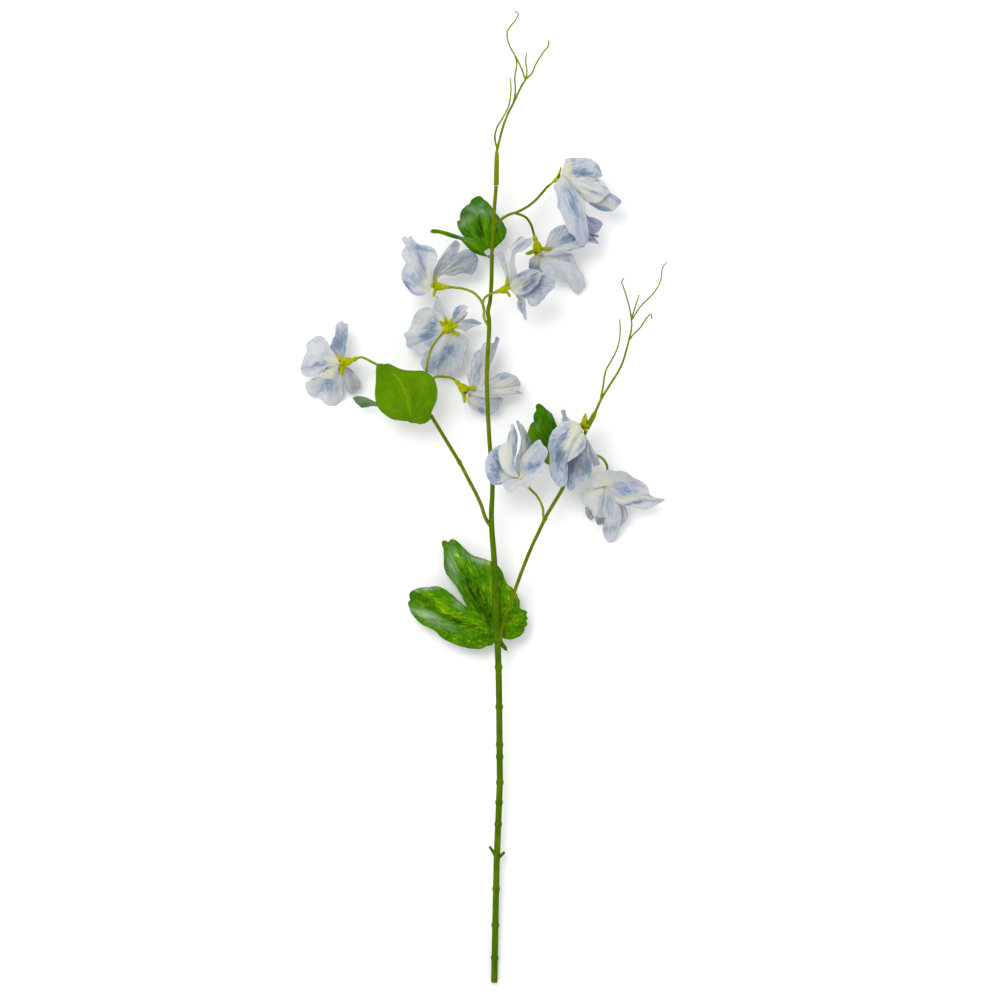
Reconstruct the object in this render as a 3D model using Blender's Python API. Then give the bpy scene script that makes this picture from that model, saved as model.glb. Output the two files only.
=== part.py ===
"""Artificial sweet pea spray lying on a flat surface.

A ringed plastic stem runs along +Y from its cut foot. It carries two side branches, two forked tendrils,
leaf pairs and ten blossoms. +Z is up, and the blossoms face up. Shapes are drawn in millimetres and scaled
to metres once they are finished. Every petal and leaf is a bowed fan of spokes that start at its claw.
"""

import math
from collections import namedtuple

import bmesh
import bpy
import numpy as np
from mathutils import Matrix, Vector

MM = 0.001
GAP = 0.3  # clearance between pieces that touch
STEM_SIDES = 8
STALK_SIDES = 6
TENDRIL_SIDES = 5
RING_SWELL = 0.6  # how far a moulded ring stands out from the stem
RING_HALF = 1.6  # half the length of a moulded ring
CLAW_RADIUS = 0.95  # crimped bead at the foot of every petal
CLAW_STEP = 2 * CLAW_RADIUS + GAP
PETAL_THICKNESS = 0.8
LEAF_THICKNESS = 1.0
SPOKE_STOPS = (0.0, 0.5, 0.78, 1.0)
MOUTH_RADIUS = 3.2
SEPAL_REACH = 6.6
UP = np.array((0.0, 0.0, 1.0))

# A fan is drawn from its claw: the neck pulls the spokes, the cup lifts or sinks their middle,
# and the rim lists offsets from the claw in order round the edge.
Fan = namedtuple("Fan", "neck cup rim")
Blossom = namedtuple("Blossom", "claw aim calyx sleeve banner wings keel")

OLIVE = (0.095, 0.21, 0.012)
CALYX_GREEN = (0.42, 0.46, 0.02)
TENDRIL_GREEN = (0.45, 0.55, 0.08)
PETAL_BLUE = (0.56, 0.63, 0.78)
WING_BLUE = (0.48, 0.55, 0.76)
KEEL_CREAM = (0.78, 0.76, 0.52)
LEAF_BRIGHT = (0.13, 0.33, 0.01)
LEAF_DARK = (0.02, 0.14, 0.01)
LEAF_GREY = (0.13, 0.22, 0.09)

# Routes are (x, y, z, radius).
MAIN_STEM = [
    (0, 0, 2.4, 2.4), (1, 50, 5, 2.4), (2, 94, 8, 2.4), (4.3, 152, 12, 2.4), (3.8, 208, 16, 2.4),
    (3.3, 238, 18.2, 2.4), (1.3, 289, 21.6, 2.3), (0, 319, 23.4, 2.2), (-2, 349, 24.8, 2.0),
    (-1.3, 375, 25.6, 1.7), (-4, 416, 26, 1.6), (-5.4, 457, 26, 1.6), (-3.8, 499, 26, 1.6),
    (-4.7, 504, 26, 1.6), (-3, 513, 26, 1.5), (-1.6, 546, 26, 1.5), (-0.3, 575, 26, 1.4), (1.5, 599, 26, 1.4),
]
STEM_RINGS = (18.8, 43.5, 71, 120, 136.5, 151.5, 171, 180, 208.5, 238.5, 279, 292, 311)
KNUCKLE_STUBS = [
    [(2.2, 93, 8, 1.2), (-0.6, 98.5, 8.4, 1.2), (-3.5, 103, 8.6, 1.0)],
    [(2.2, 93, 8, 1.2), (5.4, 96.4, 8.2, 1.2), (7.9, 98.8, 8.4, 1.0)],
]
LEFT_BRANCH = [
    (-5.8, 349, 24.8, 1.35), (-10.5, 362, 24.6, 1.35), (-20.7, 382, 23.5, 1.35), (-24.8, 390, 23, 1.35),
    (-25.8, 391.8, 22.9, 1.8), (-27.4, 394.4, 22.7, 1.35), (-32.1, 402.1, 21.8, 1.35),
    (-47.5, 427.5, 19, 1.35),
]
RIGHT_BRANCH = [
    (6.7, 254, 19.4, 1.35), (8, 267, 20.4, 1.35), (14, 292, 22, 1.35), (27.8, 328, 23.6, 1.35),
    (33.2, 339.4, 23.9, 1.35), (37, 347.5, 24, 1.35), (38, 349.6, 24, 1.8), (39.2, 352, 24, 1.35),
    (43.8, 359.8, 24, 1.35), (51.5, 373, 24, 1.35),
    (61.3, 397.5, 24, 1.35), (68.9, 416, 24, 1.35),
]

# Stalks start beside the piece that carries them. "to" names the blossom whose calyx ends the route.
STALKS = {
    "stalk_top": [
        {"route": [(1.85, 564, 26, 1.0), (3.6, 570, 25.4, 1.0), (8.9, 574.5, 24, 1.0), (18, 580, 21.5, 1.0),
                   (28.5, 586.5, 18.5, 0.95), (35.3, 593.6, 16, 0.95)], "to": "blossom_01"},
        {"route": [(16, 578.8, 22, 0.95), (23.3, 576, 20.5, 0.95), (27.6, 570.5, 17.5, 0.95)],
         "to": "blossom_02"},
    ],
    "stalk_middle": [
        {"route": [(-7.7, 500, 26, 1.0), (-7.8, 508, 26, 1.0), (-13, 517, 25, 1.0), (-19.8, 521, 25.6, 0.95)],
         "to": "blossom_04"},
        {"route": [(-7.8, 506.5, 26, 0.95), (-8.4, 511, 27.8, 0.95), (-6.8, 515, 30.4, 0.95)],
         "to": "blossom_03"},
    ],
    "stalk_left": [
        {"route": [(-47.7, 427.85, 19, 0.95), (-50.2, 434, 19.2, 1.0), (-51.7, 441, 19.5, 1.0), (-52, 450, 20.5, 1.0),
                   (-50.7, 460, 23.6, 1.0), (-49.6, 468, 28, 0.95), (-46.2, 478, 33, 0.95)],
         "to": "blossom_05"},
        {"route": [(-51.8, 447, 20, 1.0), (-58, 453.5, 20, 1.0), (-70, 458, 20, 0.95), (-87, 465, 19, 0.95)],
         "to": "blossom_06"},
        {"route": [(-52, 448, 20.2, 1.0), (-45.3, 455.6, 17.4, 0.95), (-37.5, 456.4, 13.6, 0.95)],
         "to": "blossom_07"},
    ],
    "stalk_right_low": [
        {"route": [(36.6, 351.6, 24.4, 0.95), (36.6, 357, 25, 0.95), (32.5, 366, 25.4, 0.95)],
         "to": "blossom_08"},
    ],
    "stalk_right_stub": [
        {"route": [(69.6, 422.4, 23, 0.9), (68.7, 424.8, 22.2, 0.9)], "to": "blossom_09"},
    ],
    "stalk_right_high": [
        {"route": [(63.8, 396.8, 23.4, 0.95), (70, 399, 22, 0.95), (76, 397.5, 19.5, 0.95),
                   (80.6, 395.6, 17, 0.95), (83.9, 391.6, 14.6, 0.95)], "to": "blossom_10"},
    ],
}
TENDRILS = {
    "tendril_top": [
        [(1.55, 599.4, 26, 2.0), (2, 622, 26, 1.7), (2.1, 625, 26, 1.1), (3, 629, 26, 1.0),
         (8.7, 649, 26, 0.9), (15, 662, 26, 0.85), (24, 679, 26, 0.8), (27.8, 682.5, 26, 0.7),
         (31.2, 690, 26, 0.65), (36.5, 698.5, 26, 0.6), (41, 705, 26, 0.6), (40.3, 708, 26, 0.5)],
        [(2.4, 626, 26.2, 0.8), (0.6, 634.5, 29, 0.75), (1.5, 640.5, 30, 0.7), (7.3, 651, 30, 0.65),
         (11, 659, 30, 0.6), (12.5, 669, 30, 0.6), (12.3, 679, 30, 0.5)],
        [(14.2, 660.5, 26, 0.7), (15.8, 669, 24.5, 0.65), (15.5, 681, 23.5, 0.6), (16.9, 691, 23, 0.6),
         (15.5, 697, 23, 0.5)],
        [(23.4, 678, 26.1, 0.7), (20.7, 686, 27.5, 0.65), (15.8, 696, 28.5, 0.6), (11, 705, 28, 0.6),
         (10, 714.5, 27, 0.6), (12.5, 718.5, 27, 0.55), (17.3, 725, 27, 0.5), (17.9, 728, 27, 0.5),
         (15.5, 729.5, 27, 0.45)],
        [(23.8, 678.6, 26, 0.65), (24.5, 685, 25, 0.6), (23.6, 693, 24.5, 0.55), (24.3, 698.5, 24.5, 0.45)],
    ],
    "tendril_right": [
        [(69.3, 417, 24, 1.9), (74.5, 427, 24.4, 1.9), (76.2, 430.5, 24.6, 1.1), (80, 439, 25, 1.0),
         (85.4, 448, 25.4, 0.9), (95, 464, 26, 0.85), (99.5, 478, 26.6, 0.8), (101, 484, 26.8, 0.75),
         (102.8, 493, 27, 0.7), (102.6, 500, 27, 0.7), (101, 509, 27, 0.6), (99, 516, 27, 0.55),
         (96.8, 523, 27, 0.5), (95.6, 527, 27, 0.5), (97.2, 530, 27, 0.45)],
        [(79.4, 437.6, 25, 0.8), (81.4, 448, 26, 0.75), (83.6, 460.5, 27.5, 0.7), (88.5, 469.5, 28, 0.6),
         (92.7, 479, 28, 0.6), (94.2, 488, 28, 0.55), (94, 499, 28, 0.5)],
        [(100.6, 482.5, 26.8, 0.65), (104, 487.5, 26.4, 0.6), (109.5, 493, 26, 0.6), (115, 501, 25.6, 0.55),
         (117.4, 502.6, 25.6, 0.5), (118, 499.4, 25.6, 0.45)],
        [(102.7, 499, 27, 0.6), (105.8, 509, 26.2, 0.55), (108.6, 517.5, 26, 0.45)],
        [(102.7, 498, 27, 0.6), (109.5, 508.5, 28.2, 0.55), (120.4, 520, 29, 0.55), (124.5, 528, 29, 0.5),
         (126.3, 538, 29, 0.5), (129, 541.5, 29, 0.4)],
    ],
}

# Leaves: the petiole ends at the claw, and the fans start there.
LEAVES = {
    "leaf_upper_right": ([(-1.4, 549.5, 23.1, 0.9), (-2, 552, 22.8, 0.9)], [
        Fan((-4, 12, -3), 1, [
            (-14.5, 6, -6), (-21, 14, -9), (-25.8, 21, -11), (-24, 28, -11), (-16, 34.5, -9),
            (-8.5, 40, -7), (-3, 37, -6), (1.7, 31.5, -6), (7, 23, -7), (11.8, 15, -8), (8.8, 8, -6)]),
    ]),
    "leaf_upper_left": ([(-4.4, 543.5, 26, 0.9), (-5, 546, 26, 0.9)], [
        Fan((-6, 2.6, 0), -1, [
            (-5.5, 1.2, -3), (-12.2, 3.6, -5), (-26, 10.5, -5), (-42, 19.5, -3), (-32.5, 18, 2),
            (-23, 15, 6), (-13.8, 12, 6), (-5, 6, 3)]),
    ]),
    "leaf_left_large": ([(-48.4, 424.7, 20.2, 0.9), (-54, 424.2, 24.2, 0.9), (-60, 424.5, 26.5, 0.9)], [
        Fan((-3, 8, 1), 1.5, [
            (11.2, -1, 0), (14, 4.5, 0), (17.5, 13, 1), (18.5, 21, 1), (16.5, 28, 2), (11, 34, 3),
            (-1, 37, 3), (-10.5, 38, 2), (-19, 42, 1), (-27, 40.5, 0), (-29, 27, -1), (-29, 16, -1),
            (-26, 7.5, 0), (-17, 0, 1), (-4.5, -1.4, 0)]),
    ]),
    "leaf_left_small": ([(-49.6, 426.5, 17.4, 0.9), (-53, 429.5, 16, 0.9)], [
        Fan((-12, 2, -1), 0, [
            (-19, 1, -7), (-34, 4, -9), (-46, 6, -6), (-53, 11, -1), (-46, 10, 3), (-36, 9, 4),
            (-20, 6, 2.5)]),
    ]),
    "leaf_right_dark": ([(59.6, 397, 22.6, 0.9), (57, 396, 21, 0.9)], [
        Fan((-7, 8, -1), 1, [
            (-16.5, 4.5, -4), (-24, 15.8, -6), (-27.4, 24.8, -6), (-27.7, 32, -6), (-24, 40, -7),
            (-19.5, 37.5, -5), (-13.5, 34, -4), (-10, 27, -3), (-4, 14, -2)]),
    ]),
    "leaf_right_light": ([(58.8, 394.2, 21.8, 0.9), (55.5, 392.5, 18, 0.9)], [
        Fan((-12, 6, -4), 0, [
            (-22, 31, -6), (-27, 29.5, -7), (-30, 20.5, -8), (-27.7, 12.5, -9), (-22.5, 5.5, -9),
            (-17.5, -0.5, -8), (-11, -3.5, -5)]),
    ]),
    "leaf_lower": ([(3, 261, 16.1, 1.1), (-1, 267, 15.6, 1.1)], [
        Fan((-14, -2, -1), 1, [
            (-3, -11, -2), (-7, -14.4, -3), (-13, -15, -4), (-28, -12, -4), (-38, -7, -4), (-46, 0, -5),
            (-55, 5, -6), (-63.8, 18.3, -7), (-61.5, 22, -7), (-58, 30, -7), (-50, 31.5, -6),
            (-42, 32, -5), (-34, 29, -4), (-27, 24.5, -3), (-20, 19, -3), (-11, 11, -1)]),
        Fan((-4, 14, -1), 1, [
            (-13.6, 9.4, -1), (-20, 22, -3), (-24, 28, -4), (-31, 37, -5), (-36, 43.5, -6),
            (-37, 50, -7), (-36.5, 60, -8), (-37, 66.3, -8), (-34, 65, -8), (-31, 67.5, -8),
            (-26.8, 66, -8), (-20, 59, -7), (-11.8, 54, -5), (-3.8, 51, -4), (3.3, 46.8, -4),
            (7.8, 42, -4), (10, 34.5, -3), (8, 20, -2)]),
        Fan((8, 2, 0), 0, [
            (15.5, 29, -3), (20.5, 21, -4), (21.3, 15, -4), (25.8, 12.8, -4), (27, 7.5, -4),
            (26.5, 3, -4), (23.5, -1.2, -3), (19.8, -6, -3), (13, -8.2, -2), (7.8, -7.5, -1)]),
    ]),
}
LEAF_COLOURS = {
    "leaf_upper_right": LEAF_DARK,
    "leaf_upper_left": LEAF_DARK,
    "leaf_left_large": LEAF_BRIGHT,
    "leaf_left_small": LEAF_GREY,
    "leaf_right_dark": LEAF_DARK,
    "leaf_right_light": LEAF_GREY,
    "leaf_lower": LEAF_DARK,
}

# Each layer of petals is (height of its claw in claw steps, its fans).
BLOSSOMS = {
    "blossom_01": Blossom((50.3, 606.8, 26), (0.57, 0.42, 0.71), 9, 3.5, banner=(1, [
        Fan((8, 5, 0), -1, [
            (2.1, 10.9, 3), (8.3, 12.9, 2), (17.1, 13.1, 2), (24.4, 10.9, 3), (29.1, 5.3, 5),
            (30.8, -0.8, 8), (32.8, -7.5, 12), (25.5, -6, 12), (15, -4, 9)]),
        Fan((2, -9, 1), 1, [
            (-5.6, -8.7, 3), (-2.5, -19.1, 4), (1.5, -30, 5), (6, -42, 5), (15, -51, 4), (24, -50, 4),
            (22.5, -43.2, 5), (19.8, -35.3, 6), (18.5, -28.5, 6), (12.8, -16.9, 5), (9, -7.5, 4)]),
    ]), wings=(-1, [
        Fan((9, -6, -1), 0, [
            (15.3, -18.5, -3), (23.3, -22.5, -4), (28.5, -25.5, -4), (34.5, -26.6, -3), (39, -26.3, -2),
            (44.8, -20, 0), (37.5, -14.3, -2), (34.8, -7.5, -3), (27, -1.5, -4)]),
        Fan((6, -8, -3), 0, [
            (20.3, -39, -8), (27, -43.2, -8), (30.8, -39, -7), (31.5, -34, -6)]),
    ]), keel=(0, [
        Fan((7, -4, 0), 0.5, [
            (12, -16, 0), (15.3, -18, 0), (23.3, -21, 0.5), (30.8, -19.1, 1), (32.3, -10.5, 2), (25.5, -3, 2)]),
    ])),
    "blossom_02": Blossom((33.8, 548.3, 20), (0.23, -0.89, 0.40), 9.5, 3.5, banner=(1, [
        Fan((7, 1, 2), 2, [
            (6.8, 14.3, 4), (10.5, 18.3, 4), (18.8, 21, 3), (26.3, 18, 2), (27.5, 7.5, 2),
            (23.6, 2.3, 2), (13.3, -0.8, 2)]),
    ]), wings=(-1, [
        Fan((5, -8, -2), 2, [
            (3.8, -15, -8), (9.8, -20, -13), (19.5, -22.5, -17), (24.5, -26, -19), (28.8, -29.1, -20),
            (32.3, -27.4, -20), (35, -22.2, -18), (33, -16.5, -14), (27.8, -9, -8), (24, 1, -5)]),
        Fan((-2, -5, -1), 0, [
            (-7.1, -3.8, -5), (-8.5, -8, -8), (-7.5, -12.8, -9), (-3, -15.5, -9), (1, -15, -8)]),
    ]), keel=(0, [
        Fan((9, -2, 0), 1, [
            (10, -5, -1), (18, -5, -2), (24, -2.5, -2), (26, 2.5, -1), (14, 2.5, 0)]),
    ])),
    "blossom_03": Blossom((11.25, 522, 32), (0.96, 0.28, 0), 7, 3, banner=(1, [
        Fan((9, 1, -2), -4, [
            (6, 9.8, 5), (10.5, 12.8, 6), (17, 13.5, 7), (24, 10.5, 8), (33.8, 5.6, 9), (33.8, 0, 9),
            (28.5, -4.5, 8), (24, -9.4, 7), (22.9, -12, 6), (18, -13.5, 5), (14.3, -11.3, 4)]),
    ]), wings=(-1, [
        Fan((1, 7, -1), 0, [
            (-11.3, 27, -3), (-9, 29.3, -3), (-5.3, 27.8, -3), (-3.4, 22, -3), (-1, 13, -3)]),
        Fan((2, 14, 0), 0, [
            (-2.3, 21.8, 1), (-1.5, 27, 2), (2.3, 32.3, 3), (6.8, 36.8, 4), (11, 39, 4), (13, 36.4, 3),
            (17.3, 36.8, 2), (15.5, 29, 1), (11.5, 21, 0), (7.5, 13, -2)]),
    ]), keel=(0, [
        Fan((4, -7, -1), 0, [
            (5, -12, -2), (8.4, -18, -4), (11.6, -23.3, -6), (13.4, -22.5, -6), (11.5, -17.3, -4),
            (11.4, -12, -2)]),
    ])),
    "blossom_04": Blossom((-46.5, 523.9, 24), (-0.95, 0.07, -0.3), 9.5, 2.5, banner=(0, [
        Fan((-7, 8, -1), -1.5, [
            (-6, -7.5, 2), (-12.3, -7.1, 3), (-18.8, -1.1, 4), (-22.8, 6.4, 5), (-22.1, 13.1, 5),
            (-19.9, 17.6, 4), (-22.5, 22.1, 5), (-22.1, 27.7, 6), (-22.3, 34.5, 9), (-19, 36.7, 9),
            (-16, 36.9, 9), (-13.5, 34.1, 8), (-9.3, 31.1, 6), (-2.6, 30.4, 5), (1.5, 27.7, 5),
            (4.1, 22.9, 5), (3.5, 17, 4)]),
    ]), wings=(-1, [
        Fan((-1, 9, -2.5), 0, [
            (3, 20, -6), (9.5, 25, -8), (13.8, 30, -8), (17.4, 34.6, -7), (20.8, 31.9, -8), (20.4, 26.4, -9),
            (24.5, 27.9, -9), (28.5, 27.6, -9), (33.6, 23.6, -9), (34.5, 19.9, -9), (32.5, 13.4, -9),
            (29, 10, -8)]),
    ]), keel=None),
    "blossom_05": Blossom((-33, 493.5, 24), (0.34, 0.34, -0.87), 8, 3, banner=(1, [
        Fan((-8, -1, -3), 0, [
            (-5.3, 9, -4), (-15.8, 15, -6), (-21.8, 13.8, -7), (-27, 9, -8), (-29.6, 0.8, -9),
            (-34.3, -5.3, -10), (-33, -14.6, -11), (-26.3, -17.3, -11), (-21.4, -20.3, -10),
            (-18.3, -18.8, -9)]),
        Fan((-2, -9, -5), 0, [
            (10.5, -5.6, -4), (13.5, -10.5, -6), (12.8, -18.8, -9), (10.3, -27.8, -12), (3.8, -34.5, -14),
            (-11.3, -35.8, -15), (-16.5, -33.8, -15), (-22.2, -30, -14), (-22.2, -25.5, -12),
            (-20.5, -21, -11)]),
    ]), wings=(0, [
        Fan((-3, 6, -6), 0, [
            (-14, 15.5, -12), (-10, 23.5, -11), (-6.8, 17.5, -10)]),
        Fan((2, 4, 0), 1, [
            (3, 13.5, -1), (8, 16.1, 0), (13.1, 15, 1), (10.5, 10.2, 1)]),
        Fan((4, 1, -1), 1, [
            (11, 5.6, -2), (17, 6, -3), (23.3, 3, -4), (18, 0, -5), (11.8, -3.5, -5)]),
    ]), keel=(-1, [
        Fan((4, 3, -1), 0, [
            (7, 10, -4), (13.1, 10.7, -4), (10, 5.5, -4)]),
    ])),
    "blossom_06": Blossom((-115.5, 465.8, 18), (-0.95, -0.32, 0), 9, 3, banner=(-1, [
        Fan((-2, 9, -1), 1, [
            (-8.3, 14.3, -3), (-3, 23.6, -4), (-3.3, 30, -4), (1, 32.3, -4), (5.6, 29.5, -5),
            (4.8, 21.8, -5), (3.4, 14.3, -4)]),
        Fan((-4, -8, -3), 1, [
            (-26.3, -14.6, -9), (-22.1, -24, -14), (-12.8, -28.2, -17), (-8.5, -30.5, -18),
            (-3.8, -30.5, -18), (0.8, -26.3, -15), (2, -18, -11)]),
        Fan((0, -8, -4), 0, [
            (9, -7.5, -7), (14.7, -13, -11), (14.3, -17.8, -13), (9, -21.8, -14), (4.5, -19.1, -12)]),
    ]), wings=(1, [
        Fan((-6, 3, 0), -1, [
            (-11.5, 17, 3), (-15.8, 21, 4), (-25.5, 15, 3), (-25.5, 8.6, 1), (-28, 2.6, 0),
            (-29.4, -4.1, -1), (-24.8, -9.4, -1), (-17.3, -8.7, 0)]),
    ]), keel=(0, [
        Fan((-4, -5, 0), 0, [
            (-14, -9.5, -2), (-13.5, -12.5, -2), (-5, -9.5, -1)]),
    ])),
    "blossom_07": Blossom((-19.5, 444, 16), (0.68, -0.67, 0.3), 8.5, 3, banner=(1, [
        Fan((5.5, 10, 0.5), 1, [
            (-1.5, 13.5, 2), (1.9, 18.8, 2), (2.7, 26.6, 2), (9.8, 35.3, 2), (13.5, 39, 1),
            (17, 40.8, 0), (21, 42.8, 0), (22.5, 40.5, 0), (17.8, 31, 1), (16, 17.3, 2), (12.8, 8.3, 2)]),
    ]), wings=(-1, [
        Fan((10, 3, 0), 0.5, [
            (17, 11.5, -2), (20.3, 13.5, -2), (28, 15.8, -3), (35.3, 13.2, -4), (39.8, 7.2, -5),
            (37.2, 4.2, -5), (31, 0.8, -5), (26.9, -1.8, -5)]),
        Fan((5, -4, 0), 0, [
            (-0.3, -6, -3), (6.8, -12.8, -6), (12.8, -16.3, -8), (18, -16, -9), (22.1, -12, -8),
            (23, -7.9, -7), (26, -4.5, -7)]),
    ]), keel=(0, [
        Fan((10, 1, 1), 0, [
            (30, 3, 0.5), (36, 2.2, 0.5), (42, -0.5, 0), (30, -2.5, 0), (20, -3, 0)]),
    ])),
    "blossom_08": Blossom((19.5, 380.3, 36), (-0.45, 0.50, 0.74), 8, 3, banner=(1, [
        Fan((2, 2, 1), -1, [
            (3.5, 19.5, 4), (14, 28.5, 6), (19.4, 21, 6), (20.6, 18, 6), (18, 12, 5), (18.8, 8.3, 5),
            (16.5, 3.8, 4), (11.6, 1.5, 3), (7.5, -2.3, 3), (6, -7.2, 2), (-1, -6.5, 2),
            (-6.3, -11.3, 1), (-12.4, -6, 1)]),
    ]), wings=(-1, [
        Fan((-6, 5, 0), 1, [
            (-16.5, 24, -1), (-22.5, 19.5, -2), (-26.3, 10.5, -3), (-25.5, 4.1, -4), (-23, -2.3, -4),
            (-19.5, -5.3, -4), (-13.5, -4.2, -3)]),
        Fan((0, 12, 0), 0, [
            (-3, 35, -2), (-2.4, 42.8, -2), (3, 37, -3), (6.3, 30.8, -3), (8, 24.8, -4), (5.5, 15, -4)]),
    ]), keel=(0, [
        Fan((-6, 9, 1), 1, [
            (-16.5, 18.8, 3), (-14.3, 24.8, 3), (-9.8, 27.8, 3), (-8, 35.3, 2), (-5.9, 40.5, 2),
            (-3.6, 35.3, 2), (-1.9, 29.3, 2), (-0.8, 20, 2)]),
    ])),
    "blossom_09": Blossom((65.3, 416.3, 33), (-0.18, -0.68, 0.71), 5, 1.5, banner=(1, [
        Fan((-7, -2, 1), 2, [
            (-0.8, 4.1, 2), (-4, 6, 3), (-10.5, 6.3, 3), (-15, 5.3, 3), (-19.1, 1.5, 2), (-23.3, -3.8, 1), (-24.8, -14, -1), (-23.6, -26.3, -2), (-23.3, -33, -3),
            (-20.3, -39, -4), (-17, -42.8, -4), (-12, -42, -3), (-10, -35.3, -1)]),
        Fan((-5, 3, 1), 0, [(-13.2, 14.8, 3), (-14.8, 14.2, 3), (-13.5, 8, 3)]),
    ]), wings=(-1, [
        Fan((2, -8, 0), 2, [
            (5.3, -13.5, -2), (7.5, -20.3, -3), (7.5, -28.5, -4), (6.8, -35.3, -5), (2.3, -42, -6),
            (-3.2, -41.3, -6), (-6.8, -45.8, -7), (-11, -42.8, -8)]),
        Fan((5, -7, -5), 0, [
            (11, -16, -9), (14, -25.5, -11), (9, -27, -12)]),
    ]), keel=(0, [
        Fan((-2, -8, 0), 0, [
            (-12, -16, -1), (-11, -21, -1), (-7, -20, 0)]),
    ])),
    "blossom_10": Blossom((84, 375, 22), (-0.07, -0.70, 0.71), 8, 3, banner=(1, [
        Fan((8, -3, 1), 2, [
            (-10.5, -1.5, 1), (-10.5, 1.5, 2), (-6.8, 6.8, 3), (1.3, 10.8, 3), (13.1, 10.5, 2),
            (17.6, 8.3, 1), (19, 5.6, 0), (25.9, 3, -2), (31.3, -2.3, -4), (32.3, -7.1, -6),
            (45, -11, -10), (36.3, -16.5, -10), (27.8, -18.5, -9), (21.3, -15.8, -6), (10.9, -15.8, -2)]),
    ]), wings=(-1, [
        Fan((-6, -4, -2), 0, [
            (-9.8, -3, -4), (-18.2, -5.8, -7), (-19.5, -8.6, -8), (-17.3, -14, -9), (-8.3, -21, -10)]),
        Fan((5, -8, -4), 0, [
            (10.5, -33, -18), (14.3, -27.8, -15), (16.5, -22.1, -12), (14.3, -17.3, -9)]),
        Fan((-2, -8, -5), 0, [
            (-15.8, -18, -15), (-12, -25, -20), (-4, -29, -21.7), (0.8, -29, -21.7)]),
    ]), keel=(0, [
        Fan((2, -11, -2), 1, [
            (-1.5, -36, -15), (-1, -39.8, -18), (3, -43.5, -21.6), (8.1, -39.8, -19), (9.8, -32.6, -14)]),
    ])),
}


def clear_scene():
    for item in list(bpy.data.objects):
        bpy.data.objects.remove(item)


def material(name, colour, roughness):
    paint = bpy.data.materials.new(name)
    paint.use_nodes = True
    shader = paint.node_tree.nodes["Principled BSDF"]
    shader.inputs["Base Color"].default_value = (*colour, 1.0)
    shader.inputs["Roughness"].default_value = roughness
    shader.inputs["Metallic"].default_value = 0.0
    return paint


def unit(vector):
    vector = np.array(vector, float)
    return vector / np.linalg.norm(vector)


def mesh_from(points, faces):
    mesh = bpy.data.meshes.new("shape")
    mesh.from_pydata([tuple(point) for point in points], [], faces)
    edit = bmesh.new()
    edit.from_mesh(mesh)
    bmesh.ops.recalc_face_normals(edit, faces=edit.faces)
    edit.to_mesh(mesh)
    edit.free()
    return mesh


def smooth(route, steps):
    """Stations of a rounded line through the route's own (x, y, z, radius) stations.

    Each span's end directions are scaled to its own length, so a short span next to a long one can't loop.
    """
    given = [np.array(station, float) for station in route]
    given = [2 * given[0] - given[1]] + given + [2 * given[-1] - given[-2]]
    curve = []
    for before, start, end, after in zip(given, given[1:], given[2:], given[3:]):
        span = np.linalg.norm((end - start)[:3])
        leave = (end - before) * span / np.linalg.norm((end - before)[:3])
        arrive = (after - start) * span / np.linalg.norm((after - start)[:3])
        for step in range(steps):
            t = step / steps
            share = t ** 2 * (3 - 2 * t)
            curve.append(start + share * (end - start) + t * (1 - t) ** 2 * leave - t ** 2 * (1 - t) * arrive)
    curve.append(given[-2])
    return curve


def tube(stations, sides):
    """Closed round tube whose lowest line is a row of vertices."""
    centres = [station[:3] for station in stations]
    points = []
    for index, station in enumerate(stations):
        ahead = centres[min(index + 1, len(centres) - 1)]
        behind = centres[max(index - 1, 0)]
        forward = unit(ahead - behind)
        side = unit(np.cross(forward, UP))
        over = np.cross(side, forward)
        for turn in range(sides):
            angle = 2 * math.pi * turn / sides
            points.append(station[:3] + station[3] * (math.sin(angle) * side - math.cos(angle) * over))
    faces = [list(range(sides)), list(range(len(points) - sides, len(points)))]
    for ring in range(len(stations) - 1):
        for turn in range(sides):
            here = ring * sides + turn
            beside = ring * sides + (turn + 1) % sides
            faces.append([here, beside, beside + sides, here + sides])
    return mesh_from(points, faces)


def ringed_stations(route, rings):
    """The main stem's stations with a short swelling at each moulded ring."""
    curve = np.array(smooth(route, 2))
    lengths = [station[1] for station in curve]
    stations = {station[1]: station for station in curve
                if all(abs(station[1] - ring) > 2 * RING_HALF for ring in rings)}
    for ring in rings:
        for offset, swell in ((-1.0, 0.0), (-0.5, RING_SWELL), (0.5, RING_SWELL), (1.0, 0.0)):
            y = ring + offset * RING_HALF
            station = np.array([np.interp(y, lengths, curve[:, axis]) for axis in range(4)])
            station[3] += swell
            stations[y] = station
    return [stations[y] for y in sorted(stations)]


def bead(centre):
    """The crimped claw: a small faceted ball with a vertex at its top and bottom."""
    mesh = bpy.data.meshes.new("bead")
    edit = bmesh.new()
    bmesh.ops.create_icosphere(edit, subdivisions=1, radius=CLAW_RADIUS, matrix=Matrix.Translation(Vector(centre)))
    edit.to_mesh(mesh)
    edit.free()
    return mesh


def fan_surface(claw, fan, lift, thickness):
    """Rows of points from the claw to the rim. The first row is the claw alone."""
    reaches = np.array(fan.rim, float) - (0, 0, lift)
    lengths = np.linalg.norm(reaches[:, :2], axis=1)
    necks = np.outer(lengths / lengths.max(), fan.neck)
    rows = []
    for stop in SPOKE_STOPS[1:]:
        row = []
        for reach, neck in zip(reaches, necks):
            point = claw + 2 * stop * (1 - stop) * neck + stop ** 2 * reach
            point[2] += 4 * fan.cup * stop ** 2 * (1 - stop ** 2)
            point[2] = max(point[2], 0.5 * thickness)
            row.append(point)
        rows.append(row)
    return rows


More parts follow.
